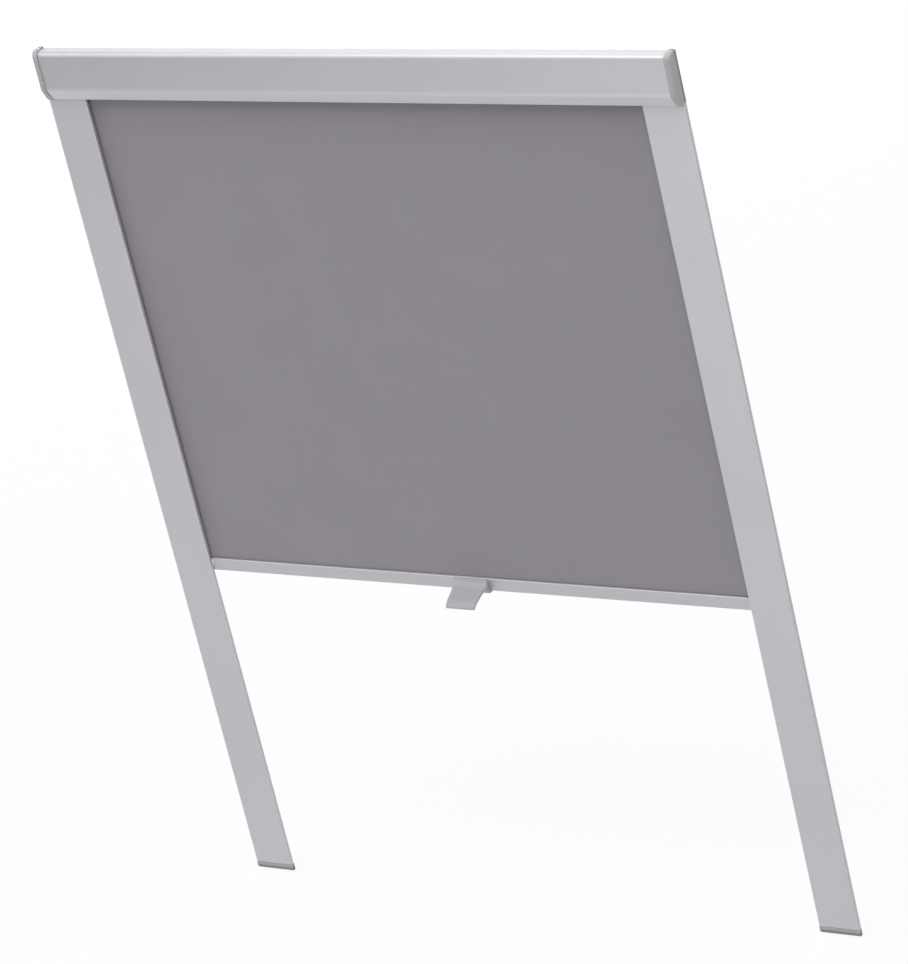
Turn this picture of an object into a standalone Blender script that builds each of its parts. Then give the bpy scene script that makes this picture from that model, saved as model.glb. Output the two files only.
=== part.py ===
"""Roller blind for a roof window: head with a recessed sprung roller, two side rails,
fabric, bottom bar with glides, and a pull tab.

Metres, +Z up the window, +X to the right seen from the room, -Y towards the room.
The origin is the middle of the head flange's back face, which bears on the window sash.
"""
import math

import bmesh
import bpy
from mathutils import Vector

# Overall sizes
BLIND_WIDTH = 0.613
BLIND_HEIGHT = 0.8044
FIT = 0.0003
RUN_GAP = 0.0005

# Head: bent cover, back profile and end caps
HEAD_WALL = 0.0012
HEAD_PROUD = 0.0112
HEAD_FACE_HEIGHT = 0.0346
HEAD_EDGE_RADIUS = 0.0046
HOUSING_RADIUS = 0.0035
HEAD_BEND_RADIUS = 0.005
FLANGE_HEIGHT = 0.0126
HOOK_DEPTH = 0.003
HOOK_WALL = 0.001
HOOK_RISE = 0.0016
SCREW_PORT_RADIUS = 0.0025
PORT_BORE = 0.6
PORT_SINK = 0.0006
SCREW_LENGTH = 0.008
NOSE_RADIUS = 0.0008
END_CAP_WIDTH = 0.006
END_CAP_PROUD = 0.0009
END_CAP_WALL = 0.0016
END_CAP_LOW_RADIUS = 0.0075
END_CAP_EDGE = 0.0026
END_CAP_TOP_EDGE = 0.0008
CAP_STEPS = 6
SPIGOT_LENGTH = 0.009
BRACKET_PLATE = 0.002
SEAL_HEIGHT = 0.0026

# Side rails: base, clip-on cover, pile strip and foot
RAIL_WIDTH = 0.038
RAIL_DEPTH = 0.004
RAIL_RECESS = 0.004
RAIL_WALL = 0.001
RAIL_SEAT = 0.0195
RAIL_SET_BACK = 0.0059
RAIL_LAP = 0.001
RAIL_EDGE_RADIUS = 0.0008
MOUTH_LIP = 0.0016
BACK_LIP_RISE = 0.0012
CLIP_LEG = 0.001
CLIP_HOOK = 0.0007
CLIP_HOOK_THICKNESS = 0.0006
CLIP_BARB = 0.0005
PILE_WIDTH = 0.0022
PILE_RIB = 0.0007
FOOT_HEIGHT = 0.0071
FOOT_RIM = 0.0023
FOOT_PROUD = 0.0003
FOOT_CORNER = 0.0018
FOOT_ROUND = 0.0036
FOOT_FLOOR = 0.0016
FOOT_SPIGOT = 0.012
FIXING_HOLES = 4
FIXING_HOLE_RADIUS = 0.0021
FIXING_END_DISTANCE = 0.045
HEAD_FIXING_HOLES = 4
HEAD_FIXING_END_DISTANCE = 0.035

# Roller: tube, fabric winding, plugs, pin, shaft and spring
TUBE_RADIUS = 0.009
TUBE_WALL = 0.0012
FABRIC_GROOVE_RADIUS = 0.0012
FABRIC_GROOVE_MOUTH = 0.001
FABRIC_GROOVE_WALL = 0.0008
ROLL_REST_RADIUS = 0.011
ROLL_ROOM = 0.0134
WRAP_PITCH = 0.00055
PLUG_LENGTH = 0.016
PLUG_FLANGE = 0.001
PIN_RADIUS = 0.0025
BUSH_WALL = 0.0017
BUSH_FLANGE = 0.0012
SHAFT_RADIUS = 0.0025
SHAFT_LENGTH = 0.136
SHAFT_FLAT = 0.003
ANCHOR_LENGTH = 0.012
SPRING_WIRE = 0.0006
SPRING_TURNS = 24
SPRING_POINTS = 9

# Fabric
FABRIC_THICKNESS = 0.0003
FABRIC_IN_RAIL = 0.012

# Bottom bar, glides and brake springs
BAR_DROP = 0.4830
BAR_HEIGHT = 0.0118
BAR_DEPTH = 0.0050
BAR_SLOPE = 0.0006
BAR_WALL = 0.001
BAR_EDGE = 0.0007
BAR_GAP = 0.001
BAR_GROOVE_RADIUS = 0.0016
BAR_GROOVE_DEPTH = 0.0037
BAR_GROOVE_MOUTH = 0.001
GLIDE_PLUG = 0.014
GLIDE_NECK = 0.0012
GLIDE_HEAD_HEIGHT = 0.0165
LEAF_THICKNESS = 0.0003
LEAF_HEIGHT = 0.011
LEAF_WIDTH = 0.005
LEAF_RISE = 0.0009

# Pull tab
TAB_TOP_WIDTH = 0.0335
TAB_TIP_WIDTH = 0.0278
TAB_REACH = 0.0255
TAB_DROP = 0.0166
TAB_THICKNESS = 0.0021
TAB_EDGE = 0.0008
TAB_SHELF = 0.0075
TAB_SHELF_DROP = 0.0066
CHEEK_WALL = 0.0016
TAB_FOOT = 0.0014
TAB_HEEL_RADIUS = 0.0011
TAB_TOE_RADIUS = 0.0021
TAB_HOOK_RISE = 0.0040
TAB_ROUND = 0.0006
TAB_ROOT_ROUND = 0.0003
TAB_KNEE = 0.4
TAB_START_LEAN = 14.5
TAB_SHELF_LEAN = 21.7
TAB_TIP_LEAN = 8.6
TAB_START_PULL = 0.6
TAB_SHELF_PULL = 0.35
TAB_TIP_PULL = 0.45

# What follows from them
HALF_WIDTH = BLIND_WIDTH / 2
HEAD_TOP = FLANGE_HEIGHT / 2 + FIT + HEAD_WALL
HEAD_BEND = HEAD_TOP - HEAD_FACE_HEIGHT
HEAD_LIP = RAIL_DEPTH + FIT + HEAD_WALL
BLIND_BOTTOM = HEAD_TOP - BLIND_HEIGHT
FOOT_TOP = BLIND_BOTTOM + FOOT_HEIGHT
PLATE_INSIDE = RAIL_DEPTH - RAIL_WALL
CHANNEL_FLOOR = RAIL_WALL - RAIL_RECESS
CHANNEL_OUT = RAIL_SEAT + FIT
CHANNEL_IN = CHANNEL_OUT + RAIL_WALL
BASE_INNER = RAIL_WIDTH - RAIL_SET_BACK
BACK_LIP_TOP = CHANNEL_FLOOR + BACK_LIP_RISE
NECK_BACK = BACK_LIP_TOP + FIT
FABRIC_Y = -(NECK_BACK + GLIDE_NECK / 2)
AXIS_Y = FABRIC_Y + ROLL_REST_RADIUS
AXIS_Z = -FLANGE_HEIGHT / 2 - HEAD_WALL - ROLL_ROOM
BACK_Y = AXIS_Y + ROLL_ROOM + HEAD_WALL
HOUSING_BOTTOM = AXIS_Z - ROLL_ROOM - HEAD_WALL
RAIL_TOP = HOUSING_BOTTOM - FIT
HEAD_BOTTOM = RAIL_TOP - RAIL_LAP
GROOVE_HEIGHT = TUBE_RADIUS - FABRIC_GROOVE_RADIUS - FIT
TUBE_CLEAR = GROOVE_HEIGHT - FABRIC_GROOVE_RADIUS - FABRIC_GROOVE_WALL - RUN_GAP
SPRING_RADIUS = TUBE_CLEAR - SPRING_WIRE
OPENING_HALF = HALF_WIDTH - RAIL_SEAT
BRACKET_OUT = OPENING_HALF - FIT
BRACKET_IN = BRACKET_OUT - BRACKET_PLATE
FABRIC_HALF = HALF_WIDTH - RAIL_WIDTH + FABRIC_IN_RAIL
BAR_TOP = HEAD_TOP - BAR_DROP
BAR_HALF = HALF_WIDTH - RAIL_WIDTH - BAR_GAP
BAR_FRONT = FABRIC_Y - BAR_DEPTH / 2
BAR_BACK = FABRIC_Y + BAR_DEPTH / 2
PORT_Y = BACK_Y - HEAD_WALL - SCREW_PORT_RADIUS + PORT_SINK
PORT_OFFSET = ROLL_ROOM - SCREW_PORT_RADIUS + PORT_SINK
RIGHT = 1
LEFT = -1
ALONG_X = (math.pi / 2, 0, math.pi / 2)
ALONG_Y = (math.pi / 2, 0, 0)
ALONG_Z = (0, 0, 0)


def start_scene():
    """Empty the scene and make the two collections."""
    for old in list(bpy.data.objects):
        bpy.data.objects.remove(old, do_unlink=True)
    parts = bpy.data.collections.new("skylight_window_blind")
    cutters = bpy.data.collections.new("cutters")
    for collection in (parts, cutters):
        bpy.context.scene.collection.children.link(collection)
    return parts, cutters


def material(name, colour, roughness, metallic):
    """Principled material with one colour."""
    made = bpy.data.materials.new(name)
    made.use_nodes = True
    shader = made.node_tree.nodes["Principled BSDF"]
    shader.inputs["Base Color"].default_value = (*colour, 1.0)
    shader.inputs["Roughness"].default_value = roughness
    shader.inputs["Metallic"].default_value = metallic
    return made


PARTS, CUTTERS = start_scene()
COLOURS = {
    "head_aluminium": ((0.42, 0.41, 0.44), 0.38, 0.8),
    "rail_aluminium": ((0.50, 0.49, 0.52), 0.40, 0.8),
    "bar_aluminium": ((0.48, 0.47, 0.50), 0.38, 0.8),
    "cap_plastic": ((0.38, 0.37, 0.39), 0.50, 0.0),
    "tab_plastic": ((0.42, 0.41, 0.43), 0.50, 0.0),
    "glide_plastic": ((0.75, 0.75, 0.74), 0.45, 0.0),
    "bracket_steel": ((0.45, 0.45, 0.46), 0.40, 0.9),
    "bright_steel": ((0.60, 0.60, 0.61), 0.25, 1.0),
    "spring_steel": ((0.35, 0.35, 0.37), 0.35, 1.0),
    "blackout_fabric": ((0.26, 0.25, 0.27), 0.85, 0.0),
    "grey_pile": ((0.30, 0.30, 0.31), 0.95, 0.0),
}


def finish(obj, colour):
    """Give a piece its own material."""
    obj.data.materials.clear()
    obj.data.materials.append(material(obj.name, *COLOURS[colour]))
    return obj


def cutter(obj):
    """Keep a cutting or joining body out of the model."""
    for held in list(obj.users_collection):
        held.objects.unlink(obj)
    CUTTERS.objects.link(obj)
    obj.hide_render = True
    obj.display_type = "WIRE"
    return obj


def boolean(obj, other, operation):
    """Cut another body out of a piece, join it on or keep the common part."""
    cutter(other)
    change = obj.modifiers.new(other.name, "BOOLEAN")
    change.operation = operation
    change.object = other
    return obj


def shade(mesh):
    """Smooth faces with sharp edges where they meet at more than 30 degrees."""
    mesh.shade_smooth()
    mesh.set_sharp_from_angle(angle=math.radians(30))


def add_mesh(name, bm, at=(0, 0, 0), turn=(0, 0, 0)):
    """Object from a finished bmesh."""
    bmesh.ops.recalc_face_normals(bm, faces=bm.faces)
    mesh = bpy.data.meshes.new(name)
    bm.to_mesh(mesh)
    bm.free()
    shade(mesh)
    obj = bpy.data.objects.new(name, mesh)
    obj.location = at
    obj.rotation_euler = turn
    PARTS.objects.link(obj)
    return obj


def arc(centre, radius, start, end, count):
    """Points on an arc, with angles in degrees."""
    points = []
    for i in range(count + 1):
        angle = math.radians(start + (end - start) * i / count)
        points.append((centre[0] + radius * math.cos(angle), centre[1] + radius * math.sin(angle)))
    return points


def rounded(corners, step=30):
    """Closed outline of corners (a, b) or (a, b, radius), each radius drawn as an arc."""
    outline = []
    for i, corner in enumerate(corners):
        point = Vector(corner[:2])
        radius = corner[2] if len(corner) > 2 else 0
        if not radius:
            outline.append(tuple(point))
            continue
        before = (Vector(corners[i - 1][:2]) - point).normalized()
        after = (Vector(corners[(i + 1) % len(corners)][:2]) - point).normalized()
        half = before.angle(after) / 2
        centre = point + (before + after).normalized() * (radius / math.sin(half))
        first = point + before * (radius / math.tan(half)) - centre
        last = point + after * (radius / math.tan(half)) - centre
        begin = math.degrees(math.atan2(first.y, first.x))
        sweep = math.degrees(math.atan2(last.y, last.x)) - begin
        sweep = (sweep + 180) % 360 - 180
        outline += arc(centre, radius, begin, begin + sweep, max(2, round(abs(sweep) / step)))
    return outline


def inset(path, distance):
    """The same open path moved sideways, to the left of its direction, with mitred corners."""
    moved = []
    for i, point in enumerate(path):
        ahead = Vector(path[min(i + 1, len(path) - 1)]) - Vector(path[min(i, len(path) - 2)])
        behind = Vector(path[max(i, 1)]) - Vector(path[max(i - 1, 0)])
        normals = [Vector((-d.y, d.x)).normalized() for d in (ahead, behind)]
        across = (normals[0] + normals[1]).normalized()
        moved.append(tuple(Vector(point) + across * (distance / across.dot(normals[0]))))
    return moved


def at_height(low, high, height):
    """Point on the line from low to high at a given second coordinate."""
    share = (height - low[1]) / (high[1] - low[1])
    return (low[0] + (high[0] - low[0]) * share, height)


def extruded(name, outlines, length, at=(0, 0, 0), turn=ALONG_X):
    """Body of one section, with any further outlines as holes, pushed along its own axis."""
    curve = bpy.data.curves.new(name, "CURVE")
    curve.dimensions = "2D"
    curve.fill_mode = "BOTH"
    curve.extrude = length / 2
    for outline in outlines:
        spline = curve.splines.new("POLY")
        spline.points.add(len(outline) - 1)
        for point, place in zip(spline.points, outline):
            point.co = (*place, 0, 1)
        spline.use_cyclic_u = True
    drawn = bpy.data.objects.new(name, curve)
    PARTS.objects.link(drawn)
    return solid_from(drawn, name, at, turn)


def lofted(name, sections):
    """Body through sections of equal length, each (x, [(y, z), ...])."""
    bm = bmesh.new()
    rings = [[bm.verts.new((x, y, z)) for y, z in outline] for x, outline in sections]
    for ring, following in zip(rings, rings[1:]):
        for i in range(len(ring)):
            bm.faces.new((ring[i - 1], ring[i], following[i], following[i - 1]))
    bm.faces.new(rings[0])
    bm.faces.new(rings[-1])
    return add_mesh(name, bm)


def solid_from(drawn, name, at=(0, 0, 0), turn=(0, 0, 0)):
    """Replace a drawn curve with its mesh, caps welded on."""
    evaluated = drawn.evaluated_get(bpy.context.evaluated_depsgraph_get())
    mesh = bpy.data.meshes.new_from_object(evaluated)
    bpy.data.objects.remove(drawn, do_unlink=True)
    bm = bmesh.new()
    bm.from_mesh(mesh)
    bmesh.ops.remove_doubles(bm, verts=bm.verts, dist=0.000001)
    bmesh.ops.dissolve_degenerate(bm, edges=bm.edges, dist=0.000001)
    bpy.data.meshes.remove(mesh)
    return add_mesh(name, bm, at, turn)


def rod(name, radius, length, at, turn=(0, math.pi / 2, 0), sides=16):
    """Round bar along X, or along Z with no turn."""
    bm = bmesh.new()
    bmesh.ops.create_cone(
        bm, cap_ends=True, segments=sides, radius1=radius, radius2=radius, depth=length
    )
    return add_mesh(name, bm, at, turn)


def box(name, low, high):
    """Plain block between two corners."""
    bm = bmesh.new()
    bmesh.ops.create_cube(bm, size=1)
    bmesh.ops.scale(bm, vec=[b - a for a, b in zip(low, high)], verts=bm.verts)
    return add_mesh(name, bm, [(a + b) / 2 for a, b in zip(low, high)])


def turned(name, profile, at, side, sides=28):
    """Turned piece: (radius, distance) pairs spun about X, distances going towards side.

    The pairs run back along the outer side, from the far end to the near one.
    """
    mesh = bpy.data.meshes.new(name)
    points = [(radius, 0, distance) for radius, distance in profile]
    links = [(i, i + 1) for i in range(len(points) - 1)]
    if profile[0][0]:
        links.append((len(points) - 1, 0))
    mesh.from_pydata(points, links, [])
    obj = bpy.data.objects.new(name, mesh)
    obj.location = at
    obj.rotation_euler = (0, side * math.pi / 2, 0)
    PARTS.objects.link(obj)
    spin = obj.modifiers.new("spin", "SCREW")
    spin.steps = sides
    spin.render_steps = sides
    spin.use_merge_vertices = True
    spin.merge_threshold = 0.00001
    spin.use_smooth_shade = False
    return obj


def bevel(obj, width, segments=2, angle=40):
    """Round a piece's sharp edges."""
    soft = obj.modifiers.new("edges", "BEVEL")
    soft.width = width
    soft.segments = segments
    soft.limit_method = "ANGLE"
    soft.angle_limit = math.radians(angle)
    return obj


def carry(empty, pieces):
    """Parent pieces to the empty on their joint's axis, where they are."""
    for piece in pieces:
        piece.parent = empty
        piece.matrix_parent_inverse = empty.matrix_basis.inverted()


def joint_empty(name, at):
    """Empty on a joint's axis, to carry the pieces that move there."""
    empty = bpy.data.objects.new(name, None)
    empty.location = at
    PARTS.objects.link(empty)
    return empty


# The head

def cover_path():
    """Outer face of the head cover, from the sash over the top and down to its lower lip."""
    return [
        (-FIT, HEAD_TOP),
        (-HEAD_PROUD, HEAD_TOP),
        (-HEAD_PROUD, HEAD_BEND),
        (-HEAD_LIP, HEAD_BOTTOM),
    ]


def inside_cover(back, gap, low):
    """Outline that lines the cover from inside, from its top wall down to a height."""
    top, corner, bend, lip = inset(cover_path(), HEAD_WALL + gap)
    radius = HEAD_EDGE_RADIUS - HEAD_WALL - gap
    foot = at_height(lip, bend, low)
    return [
        (back, top[1]),
        (*corner, radius),
        bend,
        foot,
        (back, low),
    ]


def cassette_cover():
    """Bent front of the head, with the leg that hangs in the back profile's hook."""
    outer = cover_path()
    inner = inset(outer, HEAD_WALL)
    leg_front, leg_foot = cover_leg()
    leg_back = leg_front + HOOK_WALL
    corners = [
        outer[0],
        (*outer[1], HEAD_EDGE_RADIUS),
        (*outer[2], HEAD_BEND_RADIUS),
        outer[3],
        inner[3],
        (*inner[2], HEAD_BEND_RADIUS - HEAD_WALL),
        (*inner[1], HEAD_EDGE_RADIUS - HEAD_WALL),
        (leg_front, inner[1][1]),
        (leg_front, leg_foot),
        (leg_back, leg_foot),
        (leg_back, inner[1][1]),
        inner[0],
    ]
    length = BLIND_WIDTH - 2 * END_CAP_WIDTH
    return finish(extruded("cassette_cover", [rounded(corners)], length), "head_aluminium")


def cover_leg():
    """Front face and lower end of the leg that hangs in the hook."""
    return -HEAD_WALL - HOOK_DEPTH + HOOK_WALL + FIT, hook_floor() + FIT


def hook_floor():
    """Upper face of the back profile's hook rib."""
    return FLANGE_HEIGHT / 2 - HOOK_RISE - HOOK_WALL


def port_places():
    """Centres of the two screw ports in the head's rear corners."""
    return [(PORT_Y, AXIS_Z + PORT_OFFSET), (PORT_Y, AXIS_Z - PORT_OFFSET)]


def cassette_back():
    """Back profile: sash flange with the cover's hook, and the housing round the roll."""
    top = FLANGE_HEIGHT / 2
    hook_top = hook_floor() + HOOK_RISE
    hook_tip = -HEAD_WALL - HOOK_DEPTH
    inside_top = -top - HEAD_WALL
    inside_low = AXIS_Z - ROLL_ROOM
    inside_back = BACK_Y - HEAD_WALL
    port = SCREW_PORT_RADIUS
    upper, lower = port_places()
    nose = FABRIC_Y + FABRIC_THICKNESS / 2 + RUN_GAP
    corners = [
        (0, top),
        (0, -top),
        (BACK_Y, -top, HOUSING_RADIUS),
        (BACK_Y, HOUSING_BOTTOM, HOUSING_RADIUS),
        (nose, HOUSING_BOTTOM, NOSE_RADIUS),
        (nose, inside_low + NOSE_RADIUS, NOSE_RADIUS),
        (nose + HEAD_WALL, inside_low + NOSE_RADIUS, NOSE_RADIUS / 2),
        (nose + HEAD_WALL + NOSE_RADIUS, inside_low),
        (lower[0] - port, inside_low),
        (lower[0] - port, lower[1] + port, port - FIT),
        (inside_back, lower[1] + port),
        (inside_back, upper[1] - port),
        (upper[0] - port, upper[1] - port, port - FIT),
        (upper[0] - port, inside_top),
        (-HEAD_WALL, inside_top),
        (-HEAD_WALL, hook_floor() - HOOK_WALL),
        (hook_tip, hook_floor() - HOOK_WALL),
        (hook_tip, hook_top),
        (hook_tip + HOOK_WALL, hook_top),
        (hook_tip + HOOK_WALL, hook_floor()),
        (-HEAD_WALL, hook_floor()),
        (-HEAD_WALL, top),
    ]
    bores = [arc(place, SCREW_PORT_RADIUS * PORT_BORE, 0, 324, 9) for place in port_places()]
    half = BRACKET_IN - FIT
    back = extruded("cassette_back", [rounded(corners)] + bores, 2 * half)
    height = (hook_floor() - HOOK_WALL - top) / 2
    end = half - HEAD_FIXING_END_DISTANCE
    for i, across in enumerate(spread(-end, end, HEAD_FIXING_HOLES)):
        fixing_hole(back, i, (across, height), HEAD_WALL)
    return finish(back, "head_aluminium")


def end_cap(name, side):
    """Moulded cap over the head's end: proud rim rounded outwards, hollow, with a spigot."""
    proud = END_CAP_PROUD
    rail_front = -RAIL_DEPTH - FIT
    foot = HEAD_BOTTOM - proud / 2
    corners = [
        (0, HEAD_TOP + proud),
        (-HEAD_PROUD - proud, HEAD_TOP + proud, HEAD_EDGE_RADIUS + proud),
        (-HEAD_PROUD - proud, HEAD_BEND, END_CAP_LOW_RADIUS),
        (-HEAD_LIP - proud / 2, foot, proud),
        (rail_front, foot),
        (rail_front, RAIL_TOP + FIT),
        (0, RAIL_TOP + FIT),
    ]
    width = END_CAP_WIDTH - FIT
    cap = lofted(name, cap_sections(rounded(corners, 15), side, width))
    spigot_back = cover_leg()[0] - FIT
    lining = inside_cover(spigot_back, FIT, RAIL_TOP + FIT + END_CAP_WALL)
    start = HALF_WIDTH - width - SPIGOT_LENGTH
    end = HALF_WIDTH - END_CAP_EDGE
    spigot = extruded(
        name + "_spigot", [rounded(lining)], end - start, (side * (start + end) / 2, 0, 0)
    )
    boolean(cap, spigot, "UNION")
    hollow = inside_cover(
        spigot_back - END_CAP_WALL, FIT + END_CAP_WALL, RAIL_TOP + FIT + 4 * END_CAP_WALL
    )
    start -= END_CAP_WALL
    end -= FIT
    cavity = extruded(
        name + "_hollow", [rounded(hollow)], end - start, (side * (start + end) / 2, 0, 0)
    )
    boolean(cap, cavity, "DIFFERENCE")
    return finish(cap, "cap_plastic")


def cap_sections(outline, side, width):
    """Sections of the cap, its front and, less, its top drawn in round the outer side's edge."""
    rail_front = -RAIL_DEPTH - FIT
    rail_end = RAIL_TOP + FIT
    depth = max(rail_front - y for y, _ in outline)
    height = max(z - rail_end for _, z in outline)
    sections = [(side * (HALF_WIDTH - width), outline)]
    for i in range(CAP_STEPS + 1):
        angle = math.pi / 2 * i / CAP_STEPS
        back = END_CAP_EDGE * (1 - math.cos(angle)) / depth
        down = END_CAP_TOP_EDGE * (1 - math.cos(angle)) / height
        out = HALF_WIDTH - END_CAP_EDGE * (1 - math.sin(angle))
        sections.append((side * out, [
            (y + max(0, rail_front - y) * back, z - max(0, z - rail_end) * down)
            for y, z in outline
        ]))
    return sections


def bracket(name, side):
    """Plate that closes the housing's end, backs the cover and carries the roller."""
    leg_front, leg_foot = cover_leg()
    notch = leg_front - FIT
    corners = inside_cover(notch, FIT, RAIL_TOP + FIT)[:4] + [
        (FIT, RAIL_TOP + FIT),
        (FIT, HOUSING_BOTTOM),
        (BACK_Y, HOUSING_BOTTOM, HOUSING_RADIUS),
        (BACK_Y, -FLANGE_HEIGHT / 2, HOUSING_RADIUS),
        (0, -FLANGE_HEIGHT / 2),
        (0, leg_foot - FIT),
        (notch, leg_foot - FIT),
    ]
    middle = side * (BRACKET_IN + BRACKET_OUT) / 2
    plate = extruded(name, [rounded(corners)], BRACKET_PLATE, (middle, 0, 0))
    for i, place in enumerate(port_places()):
        hole = turned(f"{name}_hole_{i}", screw_profile(FIT, FIT), (side * BRACKET_OUT, *place),
                      side, 14)
        boolean(plate, hole, "DIFFERENCE")
    if side == LEFT:
        hole = rod(name + "_bore", PIN_RADIUS + FIT + BUSH_WALL + FIT, 4 * BRACKET_PLATE,
                   (middle, AXIS_Y, AXIS_Z), sides=24)
    else:
        flat = SHAFT_FLAT / 2 + FIT
        wide = SHAFT_RADIUS + FIT
        hole = box(name + "_slot", (middle - 2 * BRACKET_PLATE, AXIS_Y - flat, AXIS_Z - wide),
                   (middle + 2 * BRACKET_PLATE, AXIS_Y + flat, AXIS_Z + wide))
    boolean(plate, hole, "DIFFERENCE")
    return finish(plate, "bracket_steel")


def screw_profile(grow=0.0, top=-FIT):
    """Countersunk screw seen from the bracket's outer face inwards, or the hole for it."""
    shank = SCREW_PORT_RADIUS * PORT_BORE - FIT
    head = 2 * shank
    reach = SCREW_LENGTH + grow
    profile = [(0, top), (head + grow, top)]
    if top > -FIT:
        profile.append((head + grow, -FIT))
    cone = BRACKET_PLATE - 2 * FIT
    return profile + [(shank + grow, -cone), (shank + grow, -reach), (0, -reach)]


def bracket_screw(name, side, place):
    """Screw that holds the bracket on the back profile's end."""
    at = (side * BRACKET_OUT, *place)
    return finish(turned(name, screw_profile(), at, side, 14), "bright_steel")


def head_light_seal():
    """Pile strip between the cover's lower slope and the fabric."""
    low = RAIL_TOP + 2 * FIT
    high = low + SEAL_HEIGHT
    _, _, bend, lip = inset(cover_path(), HEAD_WALL + FIT)
    back = FABRIC_Y - FABRIC_THICKNESS / 2 - FIT
    corners = [at_height(lip, bend, low), (back, low), (back, high), at_height(lip, bend, high)]
    length = 2 * (BRACKET_IN - FIT)
    return finish(extruded("head_light_seal", [corners], length), "grey_pile")


# The roller

def roller_tube():
    """Tube with the groove that holds the fabric's top edge."""
    groove = FABRIC_GROOVE_RADIUS
    centre = (0, GROOVE_HEIGHT)
    mouth = math.degrees(math.asin(FABRIC_GROOVE_MOUTH / 2 / TUBE_RADIUS))
    neck = math.degrees(math.asin(FABRIC_GROOVE_MOUTH / 2 / groove))
    outer = arc((0, 0), TUBE_RADIUS, 90 + mouth, 450 - mouth, 32)
    outer += arc(centre, groove, 90 - neck, -270 + neck, 10)
    inner_radius = TUBE_RADIUS - TUBE_WALL
    boss = groove + FABRIC_GROOVE_WALL
    height = (inner_radius ** 2 + centre[1] ** 2 - boss ** 2) / (2 * centre[1])
    start = math.degrees(math.acos(height / inner_radius))
    foot = math.degrees(math.asin((height - centre[1]) / boss))
    inner = arc((0, 0), inner_radius, 90 + start, 450 - start, 28)
    inner += arc(centre, boss, foot, -180 - foot, 8)[1:-1]
    return finish(
        extruded("roller_tube", [outer, inner], 2 * FABRIC_HALF, (0, AXIS_Y, AXIS_Z)),
        "bright_steel",
    )


def roller_spline():
    """Round spline in the tube's groove, with the fabric's edge round it."""
    length = 2 * FABRIC_HALF - 4 * FIT
    place = (0, AXIS_Y, AXIS_Z + GROOVE_HEIGHT)
    return finish(rod("roller_spline", FABRIC_GROOVE_RADIUS - FIT, length, place, sides=10),
                  "glide_plastic")


def fabric_roll():
    """Fabric wound on the tube as one spiral, its outer end where the panel hangs down."""
    inner = TUBE_RADIUS + FIT + FABRIC_THICKNESS / 2
    turns = (ROLL_REST_RADIUS - inner) / WRAP_PITCH
    count = round(turns * 24)
    sides = {1: [], -1: []}
    for i in range(count + 1):
        turned_back = 2 * math.pi * turns * i / count
        for face in sides:
            radius = ROLL_REST_RADIUS - WRAP_PITCH * turned_back / (2 * math.pi)
            radius += face * FABRIC_THICKNESS / 2
            angle = math.pi - turned_back
            sides[face].append((radius * math.cos(angle), radius * math.sin(angle)))
    outline = sides[1] + sides[-1][::-1]
    return finish(
        extruded("fabric_roll", [outline], 2 * FABRIC_HALF, (0, AXIS_Y, AXIS_Z)),
        "blackout_fabric",
    )


def plug(name, side, bore, colour):
    """Plug in the tube's end, keyed on the groove's boss, with a flange outside."""
    body = TUBE_RADIUS - TUBE_WALL - FIT
    flange = TUBE_RADIUS - FIT
    profile = [
        (bore, FIT + PLUG_FLANGE),
        (flange, FIT + PLUG_FLANGE),
        (flange, FIT),
        (body, FIT),
        (body, -PLUG_LENGTH + 2 * FIT),
        (body - FIT, -PLUG_LENGTH),
        (bore, -PLUG_LENGTH),
    ]
    made = turned(name, profile, (side * FABRIC_HALF, AXIS_Y, AXIS_Z), side, 24)
    key = FABRIC_GROOVE_RADIUS + FABRIC_GROOVE_WALL + FIT
    middle = side * (FABRIC_HALF - PLUG_LENGTH / 2)
    place = (middle - side * RUN_GAP, AXIS_Y, AXIS_Z + GROOVE_HEIGHT)
    boolean(made, rod(name + "_keyway", key, PLUG_LENGTH + 2 * RUN_GAP, place), "DIFFERENCE")
    return finish(made, colour)


def idle_pin():
    """Steel pin of the idle end, from the plug into the bush."""
    start = FABRIC_HALF - PLUG_LENGTH + FIT
    end = BRACKET_OUT - FIT
    return finish(rod("idle_pin", PIN_RADIUS, end - start,
                      (-(start + end) / 2, AXIS_Y, AXIS_Z), sides=20), "bright_steel")


def roller_bush():
    """Flanged bearing bush in the left bracket."""
    bore = PIN_RADIUS + FIT
    outer = bore + BUSH_WALL
    face = BRACKET_IN - BRACKET_OUT - FIT
    profile = [
        (bore, -FIT),
        (outer, -FIT),
        (outer, face),
        (outer + BUSH_WALL, face),
        (outer + BUSH_WALL, face - BUSH_FLANGE),
        (bore, face - BUSH_FLANGE),
    ]
    return finish(turned("roller_bush", profile, (-BRACKET_OUT, AXIS_Y, AXIS_Z), LEFT, 24),
                  "glide_plastic")


def spring_shaft():
    """Fixed shaft of the spring end, with a flat tongue in the bracket's slot."""
    end = BRACKET_IN - FIT
    start = end - SHAFT_LENGTH
    shaft = rod("spring_shaft", SHAFT_RADIUS, SHAFT_LENGTH,
                ((start + end) / 2, AXIS_Y, AXIS_Z), sides=20)
    tongue = box("spring_shaft_tongue",
                 (end - 4 * FIT, AXIS_Y - SHAFT_FLAT / 2, AXIS_Z - SHAFT_RADIUS + FIT),
                 (BRACKET_OUT - FIT, AXIS_Y + SHAFT_FLAT / 2, AXIS_Z + SHAFT_RADIUS - FIT))
    boolean(shaft, tongue, "UNION")
    return finish(shaft, "bright_steel")


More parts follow.
